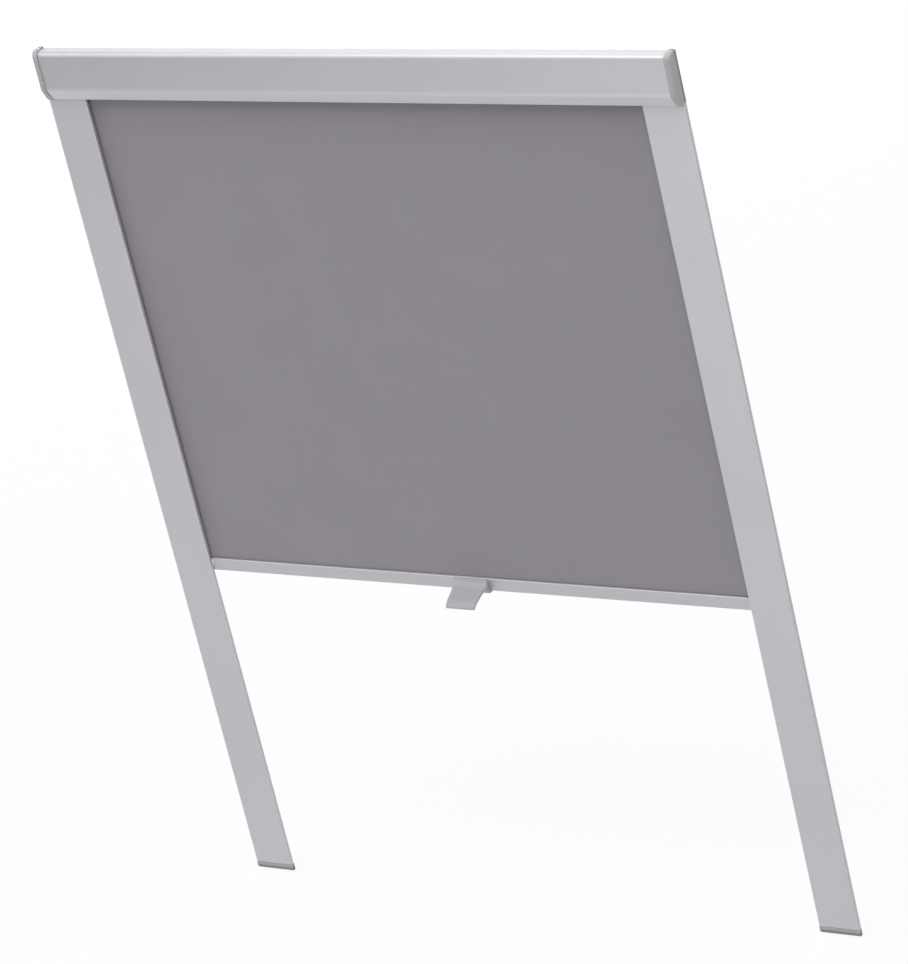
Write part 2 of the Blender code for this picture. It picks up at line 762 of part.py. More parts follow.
def spring_anchor():
    """Collar on the fixed shaft that holds the spring's inner end."""
    start = BRACKET_IN - FIT - SHAFT_LENGTH
    bore = SHAFT_RADIUS + FIT
    step = ANCHOR_LENGTH / 3
    shoulder = SPRING_RADIUS - SPRING_WIRE - FIT
    profile = [
        (bore, ANCHOR_LENGTH),
        (shoulder, ANCHOR_LENGTH),
        (shoulder, ANCHOR_LENGTH - step),
        (TUBE_CLEAR, ANCHOR_LENGTH - step),
        (TUBE_CLEAR, 0),
        (bore, 0),
    ]
    return finish(turned("spring_anchor", profile, (start, AXIS_Y, AXIS_Z), RIGHT, 24),
                  "glide_plastic")


def torsion_spring():
    """Coil between the anchor and the turning plug."""
    start = BRACKET_IN - FIT - SHAFT_LENGTH + ANCHOR_LENGTH * 2 / 3 + SPRING_WIRE + FIT
    end = FABRIC_HALF - PLUG_LENGTH - SPRING_WIRE - FIT
    curve = bpy.data.curves.new("torsion_spring", "CURVE")
    curve.dimensions = "3D"
    curve.bevel_depth = SPRING_WIRE
    curve.bevel_resolution = 1
    curve.use_fill_caps = True
    count = SPRING_TURNS * SPRING_POINTS
    spline = curve.splines.new("POLY")
    spline.points.add(count)
    for i, point in enumerate(spline.points):
        angle = 2 * math.pi * i / SPRING_POINTS
        place = (
            start + (end - start) * i / count,
            SPRING_RADIUS * math.cos(angle),
            SPRING_RADIUS * math.sin(angle),
        )
        point.co = (*place, 1)
    drawn = bpy.data.objects.new("torsion_spring", curve)
    PARTS.objects.link(drawn)
    return finish(solid_from(drawn, "torsion_spring", (0, AXIS_Y, AXIS_Z)), "spring_steel")


# The side rails. Their sections are drawn as (u, d): u from the blind's outer edge inwards,
# d from the sash towards the room.

def rail_outline(side, section):
    """A rail's section in world X and Y."""
    return [(side * (HALF_WIDTH - u), -d) for u, d in section]


def rail_length():
    """Length of the rail's profiles, from under the head to the foot."""
    return RAIL_TOP - FOOT_TOP - FIT


def rail_middle():
    """Middle of those profiles."""
    return (0, 0, (RAIL_TOP + FOOT_TOP + FIT) / 2)


def rail_base_section():
    """Seat on the sash with two clip walls, and the glide channel let into the opening."""
    outer = RAIL_WALL + FIT
    outer_in = outer + RAIL_WALL
    inner = BASE_INNER
    lip = inner - RAIL_WALL
    wall_top = PLATE_INSIDE - FIT
    hook_foot = wall_top - CLIP_HOOK_THICKNESS
    return [
        (outer, 0), (CHANNEL_OUT, 0), (CHANNEL_OUT, -RAIL_RECESS), (inner, -RAIL_RECESS),
        (inner, BACK_LIP_TOP), (lip, BACK_LIP_TOP), (lip, CHANNEL_FLOOR),
        (CHANNEL_IN, CHANNEL_FLOOR), (CHANNEL_IN, wall_top),
        (CHANNEL_OUT - CLIP_HOOK, wall_top), (CHANNEL_OUT - CLIP_HOOK, hook_foot),
        (CHANNEL_OUT, hook_foot), (CHANNEL_OUT, RAIL_WALL),
        (outer_in, RAIL_WALL), (outer_in, hook_foot), (outer_in + CLIP_HOOK, hook_foot),
        (outer_in + CLIP_HOOK, wall_top), (outer, wall_top),
    ]


def rail_cover_section():
    """Front plate with the outer skirt, two barbed clip legs, the pile pocket and its lip."""
    outer_in = 2 * RAIL_WALL + FIT
    barb_top = PLATE_INSIDE - FIT - CLIP_HOOK_THICKNESS - FIT
    tip = barb_top - CLIP_BARB
    first = outer_in + CLIP_HOOK + FIT
    second = CHANNEL_OUT - CLIP_HOOK - FIT
    lip = RAIL_WIDTH - MOUTH_LIP
    rib = lip - PILE_WIDTH - 2 * FIT
    lip_foot = pile_foot() + CLIP_HOOK
    return [
        (0, FIT), (0, RAIL_DEPTH, RAIL_EDGE_RADIUS), (RAIL_WIDTH, RAIL_DEPTH, RAIL_EDGE_RADIUS),
        (RAIL_WIDTH, lip_foot), (lip, lip_foot), (lip, PLATE_INSIDE),
        (rib, PLATE_INSIDE), (rib, lip_foot), (rib - PILE_RIB, lip_foot),
        (rib - PILE_RIB, PLATE_INSIDE),
        (second, PLATE_INSIDE), (second, barb_top), (CHANNEL_OUT - FIT, barb_top), (second, tip),
        (second - CLIP_LEG, tip), (second - CLIP_LEG, PLATE_INSIDE),
        (first + CLIP_LEG, PLATE_INSIDE), (first + CLIP_LEG, tip), (first, tip),
        (outer_in + FIT, barb_top), (first, barb_top), (first, PLATE_INSIDE),
        (RAIL_WALL, PLATE_INSIDE), (RAIL_WALL, FIT),
    ]


def pile_foot():
    """How far the pile's tips stand off the sash."""
    return NECK_BACK + GLIDE_NECK + FIT


def rail_base(name, side):
    """Base of a rail, with countersunk fixing holes in its screw chamber."""
    section = rail_outline(side, rail_base_section())
    base = extruded(name, [section], rail_length(), rail_middle(), ALONG_Z)
    across = side * (HALF_WIDTH - (2 * RAIL_WALL + FIT + CHANNEL_OUT) / 2)
    top = RAIL_TOP - FIXING_END_DISTANCE
    low = FOOT_TOP + FIXING_END_DISTANCE
    for i, height in enumerate(spread(top, low, FIXING_HOLES)):
        fixing_hole(base, i, (across, height), RAIL_WALL)
    return finish(base, "rail_aluminium")


def spread(start, end, count):
    """Evenly spread places from start to end."""
    return [start + (end - start) * i / (count - 1) for i in range(count)]


def fixing_hole(obj, number, place, wall):
    """Countersunk hole through a wall that lies on the sash, for a fixing screw."""
    bm = bmesh.new()
    bmesh.ops.create_cone(
        bm, cap_ends=True, segments=14, depth=wall + 2 * FIT,
        radius1=FIXING_HOLE_RADIUS * 2, radius2=FIXING_HOLE_RADIUS,
    )
    hole = add_mesh(f"{obj.name}_fixing_{number}", bm, (place[0], -wall / 2, place[1]),
                    (-math.pi / 2, 0, 0))
    boolean(obj, hole, "DIFFERENCE")


def rail_cover(name, side):
    """Flat front of a rail, clipped on the base."""
    section = rail_outline(side, rounded(rail_cover_section(), 45))
    return finish(extruded(name, [section], rail_length(), rail_middle(), ALONG_Z),
                  "rail_aluminium")


def pile_seal(name, side):
    """Pile strip in the cover's pocket, its tips close to the fabric."""
    lip = RAIL_WIDTH - MOUTH_LIP - FIT
    section = [
        (lip, pile_foot()), (lip, PLATE_INSIDE - FIT),
        (lip - PILE_WIDTH, PLATE_INSIDE - FIT), (lip - PILE_WIDTH, pile_foot()),
    ]
    return finish(extruded(name, [rail_outline(side, section)], rail_length(), rail_middle(),
                           ALONG_Z), "grey_pile")


def rail_foot(name, side):
    """Moulded foot: a proud rim over a rounded end, a spigot in the screw chamber and a
    pocket for the glide."""
    rim = -RAIL_DEPTH - FOOT_PROUD
    corners = [
        (0, BLIND_BOTTOM),
        (-RAIL_DEPTH, BLIND_BOTTOM, FOOT_ROUND),
        (-RAIL_DEPTH, FOOT_TOP - FOOT_RIM),
        (rim, FOOT_TOP - FOOT_RIM),
        (rim, FOOT_TOP),
        (0, FOOT_TOP),
    ]
    middle = side * (HALF_WIDTH - RAIL_WIDTH / 2)
    foot = extruded(name, [rounded(corners, 15)], RAIL_WIDTH, (middle, 0, 0))
    half = RAIL_WIDTH / 2
    ends = [
        (half, FOOT_TOP + FIT), (-half, FOOT_TOP + FIT),
        (-half, BLIND_BOTTOM, FOOT_CORNER), (half, BLIND_BOTTOM, FOOT_CORNER),
    ]
    shape = extruded(name + "_ends", [rounded(ends, 30)], 4 * RAIL_DEPTH, (middle, 0, 0), ALONG_Y)
    boolean(foot, shape, "INTERSECT")
    inner = BASE_INNER - RAIL_WALL
    tongue = [
        (CHANNEL_OUT, -RAIL_RECESS), (BASE_INNER, -RAIL_RECESS),
        (BASE_INNER, FIT), (CHANNEL_OUT, FIT),
    ]
    place = (0, 0, (FOOT_TOP + BLIND_BOTTOM) / 2)
    boolean(foot, extruded(name + "_tongue", [rail_outline(side, tongue)],
                           FOOT_HEIGHT - 2 * FIT, place, ALONG_Z), "UNION")
    clear = CLIP_HOOK + FIT + CLIP_LEG + FIT
    out, back = 2 * RAIL_WALL + FIT + clear, CHANNEL_OUT - clear
    spigot = [
        (out, RAIL_WALL + FIT, FIT), (back, RAIL_WALL + FIT, FIT),
        (back, PLATE_INSIDE - FIT, FIT), (out, PLATE_INSIDE - FIT, FIT),
    ]
    height = FOOT_SPIGOT + FIT
    place = (0, 0, FOOT_TOP - FIT + height / 2)
    boolean(foot, extruded(name + "_spigot", [rail_outline(side, rounded(spigot, 45))],
                           height, place, ALONG_Z), "UNION")
    pocket = [
        (CHANNEL_IN, CHANNEL_FLOOR), (inner, CHANNEL_FLOOR),
        (inner, PLATE_INSIDE), (CHANNEL_IN, PLATE_INSIDE),
    ]
    depth = FOOT_HEIGHT - FOOT_FLOOR + FIT
    place = (0, 0, FOOT_TOP + FIT - depth / 2)
    boolean(foot, extruded(name + "_pocket", [rail_outline(side, pocket)], depth, place,
                           ALONG_Z), "DIFFERENCE")
    return finish(foot, "cap_plastic")


# The bar and what rides on it. Heights in these sections count from the bar's top.

def bar_front(height):
    """Where the bar's sloping front is at a height under its top."""
    return BAR_FRONT - BAR_SLOPE * height / BAR_HEIGHT


def chamber_corners(grow=0.0):
    """Hollow in the bar's lower part, or with a negative grow what fits in it."""
    top = -BAR_GROOVE_DEPTH - BAR_GROOVE_RADIUS - BAR_WALL
    low = -BAR_HEIGHT + BAR_WALL
    back = BAR_BACK - BAR_WALL + grow
    return [
        (bar_front(top) + BAR_WALL - grow, top + grow),
        (bar_front(low) + BAR_WALL - grow, low - grow),
        (back, low - grow),
        (back, top + grow),
    ]


def bottom_bar():
    """Bar profile: fabric groove at the top, hollow below, front leaning back."""
    groove = (FABRIC_Y, -BAR_GROOVE_DEPTH)
    half = BAR_GROOVE_MOUTH / 2
    neck = math.degrees(math.asin(half / BAR_GROOVE_RADIUS))
    corners = [
        (FABRIC_Y - half, 0),
        (BAR_FRONT, 0, BAR_EDGE),
        (bar_front(-BAR_HEIGHT), -BAR_HEIGHT, BAR_EDGE),
        (BAR_BACK, -BAR_HEIGHT, BAR_EDGE),
        (BAR_BACK, 0, BAR_EDGE),
        (FABRIC_Y + half, 0),
    ]
    outline = rounded(corners)
    outline += arc(groove, BAR_GROOVE_RADIUS, 90 - neck, -270 + neck, 12)
    return finish(
        extruded("bottom_bar", [outline, chamber_corners()], 2 * BAR_HALF, (0, 0, BAR_TOP)),
        "bar_aluminium",
    )


def bar_spline():
    """Round spline that keeps the fabric's lower edge in the bar."""
    place = (0, FABRIC_Y, BAR_TOP - BAR_GROOVE_DEPTH)
    return finish(rod("bar_spline", BAR_GROOVE_RADIUS - FIT, 2 * BAR_HALF - 2 * FIT, place,
                      sides=12), "glide_plastic")


def fabric_foot():
    """Lower edge of the fabric panel, just above the spline in the bar."""
    return BAR_TOP - BAR_GROOVE_DEPTH + BAR_GROOVE_RADIUS


def fabric_panel():
    """Fabric from the roll's front down into the bar's groove."""
    top = AXIS_Z - FIT
    half = FABRIC_THICKNESS / 2
    return finish(box("fabric_panel", (-FABRIC_HALF, FABRIC_Y - half, fabric_foot()),
                      (FABRIC_HALF, FABRIC_Y + half, top)), "blackout_fabric")


def glide_top():
    """Upper end of the glide's head, under the fabric's edge."""
    return fabric_foot() - RUN_GAP - BAR_TOP


def glide_head():
    """Where the glide's head starts and ends in the rail's channel, as half widths."""
    lip = BASE_INNER - RAIL_WALL
    return HALF_WIDTH - lip + RUN_GAP, HALF_WIDTH - CHANNEL_IN - RUN_GAP


def glide(name, side):
    """End glide: plug in the bar, end plate, neck through the mouth, head in the channel."""
    inner = chamber_corners(-FIT)
    (_, neck_high), (_, neck_low) = inner[:2]
    end = BAR_HALF + RUN_GAP + FIT
    start = BAR_HALF - GLIDE_PLUG
    body = extruded(name, [inner], end - start, (side * (start + end) / 2, 0, BAR_TOP))
    top = neck_high + BAR_WALL
    plate_corners = [
        (bar_front(top), top), (bar_front(-BAR_HEIGHT), -BAR_HEIGHT, BAR_EDGE),
        (BAR_BACK, -BAR_HEIGHT, BAR_EDGE), (BAR_BACK, top),
    ]
    plate = extruded(name + "_plate", [rounded(plate_corners)], RUN_GAP,
                     (side * (BAR_HALF + FIT + RUN_GAP / 2), 0, BAR_TOP))
    boolean(body, plate, "UNION")
    head_start, head_end = glide_head()
    ends = sorted((side * BAR_HALF, side * (head_start + RUN_GAP)))
    neck = box(name + "_neck", (ends[0], -NECK_BACK - GLIDE_NECK, BAR_TOP + neck_low),
               (ends[1], -NECK_BACK, BAR_TOP + neck_high))
    boolean(body, neck, "UNION")
    back = -CHANNEL_FLOOR - FIT
    front = -PLATE_INSIDE + RUN_GAP
    head_corners = [
        (side * head_start, back, FIT), (side * head_end, back, FIT),
        (side * head_end, front, FIT), (side * head_start, front, FIT),
    ]
    head = extruded(name + "_head", [rounded(head_corners, 45)], GLIDE_HEAD_HEIGHT,
                    (0, 0, leaf_centre()), ALONG_Z)
    boolean(body, head, "UNION")
    middle = side * (head_start + head_end) / 2
    wide = LEAF_WIDTH / 2 + FIT
    tall = LEAF_HEIGHT / 2 + FIT
    pocket = box(name + "_pocket",
                 (middle - wide, back - LEAF_RISE - LEAF_THICKNESS - FIT, leaf_centre() - tall),
                 (middle + wide, back + RUN_GAP, leaf_centre() + tall))
    boolean(body, pocket, "DIFFERENCE")
    return finish(body, "glide_plastic")


def leaf_centre():
    """Height of the middle of the glide's head and its brake leaf."""
    return BAR_TOP + glide_top() - GLIDE_HEAD_HEIGHT / 2


def brake_spring(name, side):
    """Bowed leaf that presses on the rail's floor and holds the bar where it is put."""
    half = LEAF_HEIGHT / 2
    radius = (half ** 2 + LEAF_RISE ** 2) / (2 * LEAF_RISE)
    swing = math.degrees(math.asin(half / radius))
    centre = (-CHANNEL_FLOOR - FIT - radius, 0)
    outer = arc(centre, radius, -swing, swing, 10)
    inner = arc(centre, radius - LEAF_THICKNESS, swing, -swing, 10)
    place = (side * sum(glide_head()) / 2, 0, leaf_centre())
    return finish(extruded(name, [outer + inner], LEAF_WIDTH, place), "spring_steel")


# The pull tab

def leaning(degrees):
    """Direction out and down, at an angle under the level."""
    return Vector((-math.cos(math.radians(degrees)), -math.sin(math.radians(degrees))))


def tab_line(share):
    """Side view of the tab's upper face, from the bar's top edge to the tip: one smooth curve."""
    start = Vector((BAR_FRONT - FIT - TAB_EDGE, -FIT))
    shelf = Vector((BAR_FRONT - TAB_SHELF, -TAB_SHELF_DROP))
    tip = Vector((BAR_FRONT - TAB_REACH, -TAB_DROP))
    lean = leaning(TAB_SHELF_LEAN)
    if share < TAB_KNEE:
        t = share / TAB_KNEE
        a, d = start, shelf
        b = start + leaning(90 - TAB_START_LEAN) * TAB_SHELF_DROP * TAB_START_PULL
        c = shelf - lean * TAB_SHELF * TAB_SHELF_PULL
    else:
        t = (share - TAB_KNEE) / (1 - TAB_KNEE)
        a, d = shelf, tip
        b = shelf + lean * (TAB_REACH - TAB_SHELF) * TAB_SHELF_PULL
        c = tip - leaning(90 + TAB_TIP_LEAN) * (TAB_DROP - TAB_SHELF_DROP) * TAB_TIP_PULL
    s = 1 - t
    return a * s ** 3 + b * 3 * s * s * t + c * 3 * s * t * t + d * t ** 3


def tab_blade():
    """Curved blade of the tab, narrowing to its tip."""
    mesh = bpy.data.meshes.new("pull_handle")
    places = []
    faces = []
    rows = 18
    for i in range(rows + 1):
        share = i / rows
        y, z = tab_line(share)
        half = (TAB_TOP_WIDTH + (TAB_TIP_WIDTH - TAB_TOP_WIDTH) * share) / 2
        places += [(-half, y, z), (half, y, z)]
        if i:
            faces.append((2 * i - 2, 2 * i, 2 * i + 1, 2 * i - 1))
    mesh.from_pydata(places, [], faces)
    blade = bpy.data.objects.new("pull_handle", mesh)
    blade.location = (0, 0, BAR_TOP)
    PARTS.objects.link(blade)
    shell = blade.modifiers.new("thickness", "SOLIDIFY")
    shell.thickness = TAB_THICKNESS
    shell.offset = -1
    shell.use_even_offset = True
    return bevel(blade, TAB_ROUND, 2, 60)


def tab_root_outline():
    """Side view of the tab's root, as if the bar weren't there: blade to hook, round its foot."""
    foot = -BAR_HEIGHT - FIT - TAB_FOOT
    hook_top = foot + TAB_FOOT + TAB_HOOK_RISE
    back = BAR_BACK + FIT + TAB_FOOT
    inside = inset([tab_line(share) for share in spread(0, TAB_KNEE, 9)], TAB_THICKNESS / 2)
    toe = bar_front(-BAR_HEIGHT) - FIT - TAB_FOOT
    return [
        (FABRIC_Y, inside[0][1]),
        (FABRIC_Y, hook_top),
        (back, hook_top),
        (back, foot, TAB_HEEL_RADIUS),
        (toe, foot, TAB_TOE_RADIUS),
        (inside[-1][0], inside[-1][1] - TAB_THICKNESS / 4),
    ] + inside[::-1]


def tab_seat_outline():
    """Room for the bar in the tab's root."""
    low = -BAR_HEIGHT - FIT
    return [
        (BAR_FRONT - FIT, BAR_WALL),
        (bar_front(-BAR_HEIGHT) - FIT, low),
        (BAR_BACK + FIT, low),
        (BAR_BACK + FIT, BAR_WALL),
    ]


def tab_hollow_outline():
    """Side view of the hollow under the blade, open below, in front of the bar."""
    back = bar_front(-BAR_HEIGHT) - FIT - CHEEK_WALL
    under = inset([tab_line(share) for share in spread(TAB_KNEE / 4, 1.5 * TAB_KNEE, 9)],
                  TAB_THICKNESS)
    start = next(i for i, p in enumerate(under) if p[0] < back)
    low = -BAR_HEIGHT - 4 * TAB_FOOT
    return [(back, low), (back, under[start][1])] + under[start:] + [(under[-1][0], low)]


def pull_handle():
    """Tab clipped on the bar: blade, hollow root between two cheeks, and a hook round the bar."""
    blade = tab_blade()
    place = (0, 0, BAR_TOP)
    root = extruded("pull_handle_root", [rounded(tab_root_outline())], TAB_TOP_WIDTH, place)
    bevel(root, TAB_ROOT_ROUND, 1, 60)
    boolean(blade, root, "UNION")
    hollow = extruded("pull_handle_hollow", [tab_hollow_outline()],
                      TAB_TOP_WIDTH - 2 * CHEEK_WALL, place)
    boolean(blade, hollow, "DIFFERENCE")
    seat = extruded("pull_handle_seat", [tab_seat_outline()], 2 * TAB_TOP_WIDTH, place)
    boolean(blade, seat, "DIFFERENCE")
    return finish(blade, "tab_plastic")


def build():
    """Make every piece and hang the moving ones on their joints."""
    cassette_cover()
    cassette_back()
    head_light_seal()
    roller_bush()
    spring_shaft()
    spring_anchor()
    for word, side in (("left", LEFT), ("right", RIGHT)):
        end_cap(f"end_cap_{word}", side)
        bracket(f"bracket_{word}", side)
        for level, place in zip(("top", "bottom"), port_places()):
            bracket_screw(f"bracket_screw_{word}_{level}", side, place)
        rail_base(f"rail_base_{word}", side)
        rail_cover(f"rail_cover_{word}", side)
        pile_seal(f"pile_seal_{word}", side)
        rail_foot(f"rail_foot_{word}", side)
    carry(joint_empty("roller_axis", (0, AXIS_Y, AXIS_Z)), [
        roller_tube(),
        roller_spline(),
        fabric_roll(),
        plug("spring_plug", RIGHT, SHAFT_RADIUS + RUN_GAP, "glide_plastic"),
        plug("idle_plug", LEFT, PIN_RADIUS + FIT, "glide_plastic"),
        idle_pin(),
        torsion_spring(),
    ])
    carry(joint_empty("bar_travel", (0, FABRIC_Y, BAR_TOP)), [
        bottom_bar(),
        bar_spline(),
        fabric_panel(),
        glide("glide_left", LEFT),
        glide("glide_right", RIGHT),
        brake_spring("brake_spring_left", LEFT),
        brake_spring("brake_spring_right", RIGHT),
        pull_handle(),
    ])


build()
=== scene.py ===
"""Looks of a skylight's roller blind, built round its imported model.

Metres, +Z up along the rails, +X to the right seen from the room, -Y towards the room.
"""
import math

import bmesh
import bpy
from mathutils import Matrix, Vector


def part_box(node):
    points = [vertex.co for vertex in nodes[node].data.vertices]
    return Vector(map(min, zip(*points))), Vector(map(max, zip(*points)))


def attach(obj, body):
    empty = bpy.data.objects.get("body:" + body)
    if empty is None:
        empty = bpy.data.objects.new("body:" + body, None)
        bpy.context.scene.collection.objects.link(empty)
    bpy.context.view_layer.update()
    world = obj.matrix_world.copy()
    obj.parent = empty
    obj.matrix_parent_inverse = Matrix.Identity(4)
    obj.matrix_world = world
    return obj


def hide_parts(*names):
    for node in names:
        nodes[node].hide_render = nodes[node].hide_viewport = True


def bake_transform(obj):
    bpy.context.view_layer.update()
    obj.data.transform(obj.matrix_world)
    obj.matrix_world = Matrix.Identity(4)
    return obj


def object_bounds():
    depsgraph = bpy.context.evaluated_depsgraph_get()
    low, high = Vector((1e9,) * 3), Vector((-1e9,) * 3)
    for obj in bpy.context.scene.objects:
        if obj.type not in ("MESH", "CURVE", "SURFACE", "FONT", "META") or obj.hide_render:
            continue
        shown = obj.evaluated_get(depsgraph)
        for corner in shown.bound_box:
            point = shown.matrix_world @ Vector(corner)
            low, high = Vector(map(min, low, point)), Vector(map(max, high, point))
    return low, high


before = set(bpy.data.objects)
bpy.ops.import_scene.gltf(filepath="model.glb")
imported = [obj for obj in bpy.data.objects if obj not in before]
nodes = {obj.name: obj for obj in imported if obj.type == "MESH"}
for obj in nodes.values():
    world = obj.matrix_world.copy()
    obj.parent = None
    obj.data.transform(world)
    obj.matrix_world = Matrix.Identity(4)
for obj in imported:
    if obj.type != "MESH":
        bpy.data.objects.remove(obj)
cad_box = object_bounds()


# The head's back profile: one aluminium extrusion that holds the roller and is screwed down by
# its flange. The cover hides it from the room, so it is left as it comes from the press, with
# die lines along its length. Its saw-cut arrises are eased by hand and shine a little.

def skin_of(name, roughness, metallic=0.0):
    """New material: its tree, its Principled shader and its Object coordinates."""
    made = bpy.data.materials.new(name)
    made.use_nodes = True
    shader = made.node_tree.nodes["Principled BSDF"]
    shader.inputs["Roughness"].default_value = roughness
    shader.inputs["Metallic"].default_value = metallic
    place = made.node_tree.nodes.new("ShaderNodeTexCoord").outputs["Object"]
    return made, made.node_tree, shader, place


def effect_group(name, inputs, outputs):
    """Empty shader node group; inputs are (label, kind, default), outputs (label, kind)."""
    made = bpy.data.node_groups.new(name, "ShaderNodeTree")
    for label, kind, value in inputs:
        socket = made.interface.new_socket(label, in_out="INPUT", socket_type=kind)
        if value is not None:
            socket.default_value = value
    for label, kind in outputs:
        made.interface.new_socket(label, in_out="OUTPUT", socket_type=kind)
    given = made.nodes.new("NodeGroupInput").outputs
    return made, given, made.nodes.new("NodeGroupOutput").inputs


def feed(tree, socket, value):
    """Give a socket a plain value or a link."""
    if isinstance(value, (int, float)):
        socket.default_value = value
    elif isinstance(value, tuple):
        socket.default_value = (*value, 1.0) if len(socket.default_value) == 4 else value
    else:
        tree.links.new(value, socket)


def maths(tree, operation, first, second=0.0):
    """Math node on sockets or numbers."""
    node = tree.nodes.new("ShaderNodeMath")
    node.operation = operation
    feed(tree, node.inputs[0], first)
    feed(tree, node.inputs[1], second)
    return node.outputs["Value"]


def mixed(tree, *shares):
    """Sum of values, each times its share: (value, share), ..."""
    total = None
    for value, share in shares:
        part = maths(tree, "MULTIPLY", value, share)
        total = part if total is None else maths(tree, "ADD", total, part)
    return total


def spanned(tree, amount, least, span):
    """A least value, and above it a span times an amount."""
    return maths(tree, "ADD", maths(tree, "MULTIPLY", amount, span), least)


def noise(tree, place, scale, detail=2.0, stretch=None):
    """Noise at a place, which may first be stretched by its own scale in each direction."""
    if stretch:
        node = tree.nodes.new("ShaderNodeMapping")
        node.inputs["Scale"].default_value = stretch
        tree.links.new(place, node.inputs["Vector"])
        place = node.outputs["Vector"]
    node = tree.nodes.new("ShaderNodeTexNoise")
    node.inputs["Scale"].default_value = scale
    node.inputs["Detail"].default_value = detail
    tree.links.new(place, node.inputs["Vector"])
    return node.outputs["Fac"]


def tint(tree, amount, low, high):
    """Colour between two, by an amount."""
    node = tree.nodes.new("ShaderNodeMix")
    node.data_type = "RGBA"
    feed(tree, node.inputs["Factor"], amount)
    for name, value in (("A", low), ("B", high)):
        feed(tree, next(s for s in node.inputs if s.name == name and s.type == "RGBA"), value)
    return next(s for s in node.outputs if s.type == "RGBA")


def painted(tree, shader, colour, roughness):
    """Give a shader its colour and roughness."""
    feed(tree, shader.inputs["Base Color"], colour)
    feed(tree, shader.inputs["Roughness"], roughness)


def raised(tree, shader, height, distance, strength):
    """Bump from a height."""
    bump = tree.nodes.new("ShaderNodeBump")
    bump.inputs["Strength"].default_value = strength
    bump.inputs["Distance"].default_value = distance
    feed(tree, bump.inputs["Height"], height)
    tree.links.new(bump.outputs["Normal"], shader.inputs["Normal"])


def placed(tree, group, **values):
    """A shader node group in a tree, its inputs fed by name, with spaces as underlines."""
    node = tree.nodes.new("ShaderNodeGroup")
    node.node_tree = group
    for name, value in values.items():
        feed(tree, node.inputs[name.replace("_", " ")], value)
    return node.outputs


COLOUR, NUMBER, PLACE = "NodeSocketColor", "NodeSocketFloat", "NodeSocketVector"
GREY = (0.5, 0.5, 0.5, 1.0)

# Die lines and the cloudy tone of extruded aluminium. The noise that draws the lines has its
# place scaled so that each one is thin across the extrusion and long along it.
ACROSS_A_LINE, ALONG_A_LINE = 1800.0, 5.0
DIE_LINES, given, put = effect_group(
    "die_lines",
    [("Place", PLACE, None), ("Across X", NUMBER, 1.0), ("Across Z", NUMBER, 1.0)],
    [("Tone", NUMBER), ("Height", NUMBER)],
)
axes = DIE_LINES.nodes.new("ShaderNodeSeparateXYZ")
DIE_LINES.links.new(given["Place"], axes.inputs["Vector"])
lines = DIE_LINES.nodes.new("ShaderNodeCombineXYZ")
for axis, scale in (("X", given["Across X"]), ("Y", ACROSS_A_LINE), ("Z", given["Across Z"])):
    feed(DIE_LINES, lines.inputs[axis], maths(DIE_LINES, "MULTIPLY", axes.outputs[axis], scale))
fine = noise(DIE_LINES, lines.outputs["Vector"], scale=1.0, detail=3.0)
cloud = noise(DIE_LINES, given["Place"], scale=7.0)
speck = noise(DIE_LINES, given["Place"], scale=1100.0, detail=1.0)
feed(DIE_LINES, put["Tone"], mixed(DIE_LINES, (fine, 0.45), (cloud, 0.4), (speck, 0.15)))
feed(DIE_LINES, put["Height"], mixed(DIE_LINES, (fine, 0.75), (speck, 0.25)))

# Rubbed arrises: a piece's eased edges carry the attribute "edge", and are rubbed brighter
# and smoother there in patches.
RUBBED, given, put = effect_group(
    "rubbed_edges",
    [("Edge", NUMBER, 0.0), ("Place", PLACE, None), ("Colour", COLOUR, GREY),
     ("Bare", COLOUR, GREY), ("Roughness", NUMBER, 0.5), ("Smoothing", NUMBER, 0.1)],
    [("Colour", COLOUR), ("Roughness", NUMBER)],
)
patches = noise(RUBBED, given["Place"], scale=60.0, detail=3.0)
patch_gain = 1.4
rubbed = maths(RUBBED, "MULTIPLY", given["Edge"], maths(RUBBED, "MULTIPLY", patches, patch_gain))
feed(RUBBED, put["Colour"], tint(RUBBED, rubbed, given["Colour"], given["Bare"]))
feed(RUBBED, put["Roughness"], maths(RUBBED, "SUBTRACT", given["Roughness"],
                                     maths(RUBBED, "MULTIPLY", rubbed, given["Smoothing"])))


def edge_of(tree):
    """The piece's own edge mask."""
    mask = tree.nodes.new("ShaderNodeAttribute")
    mask.attribute_name = "edge"
    return mask.outputs["Fac"]


def between(tree, place, axis, start, end):
    """0 at the start and 1 at the end of a stretch along an axis."""
    axes = tree.nodes.new("ShaderNodeSeparateXYZ")
    feed(tree, axes.inputs["Vector"], place)
    node = tree.nodes.new("ShaderNodeMapRange")
    for name, value in (("Value", axes.outputs[axis]), ("From Min", start), ("From Max", end)):
        feed(tree, node.inputs[name], value)
    return node.outputs["Result"]


def toned(tree, place, colour, stretches):
    """Colour drawn to others along an axis: (axis, start, end, share, other), ..."""
    for axis, start, end, share, other in stretches:
        amount = maths(tree, "MULTIPLY", between(tree, place, axis, start, end), share)
        colour = tint(tree, amount, colour, other)
    return colour


# Colours that tones are drawn towards: white for a painted highlight, near black for painted
# shade.
PAINTED_HIGHLIGHT, PAINTED_SHADE = (1.0, 1.0, 1.0), (0.10, 0.095, 0.10)


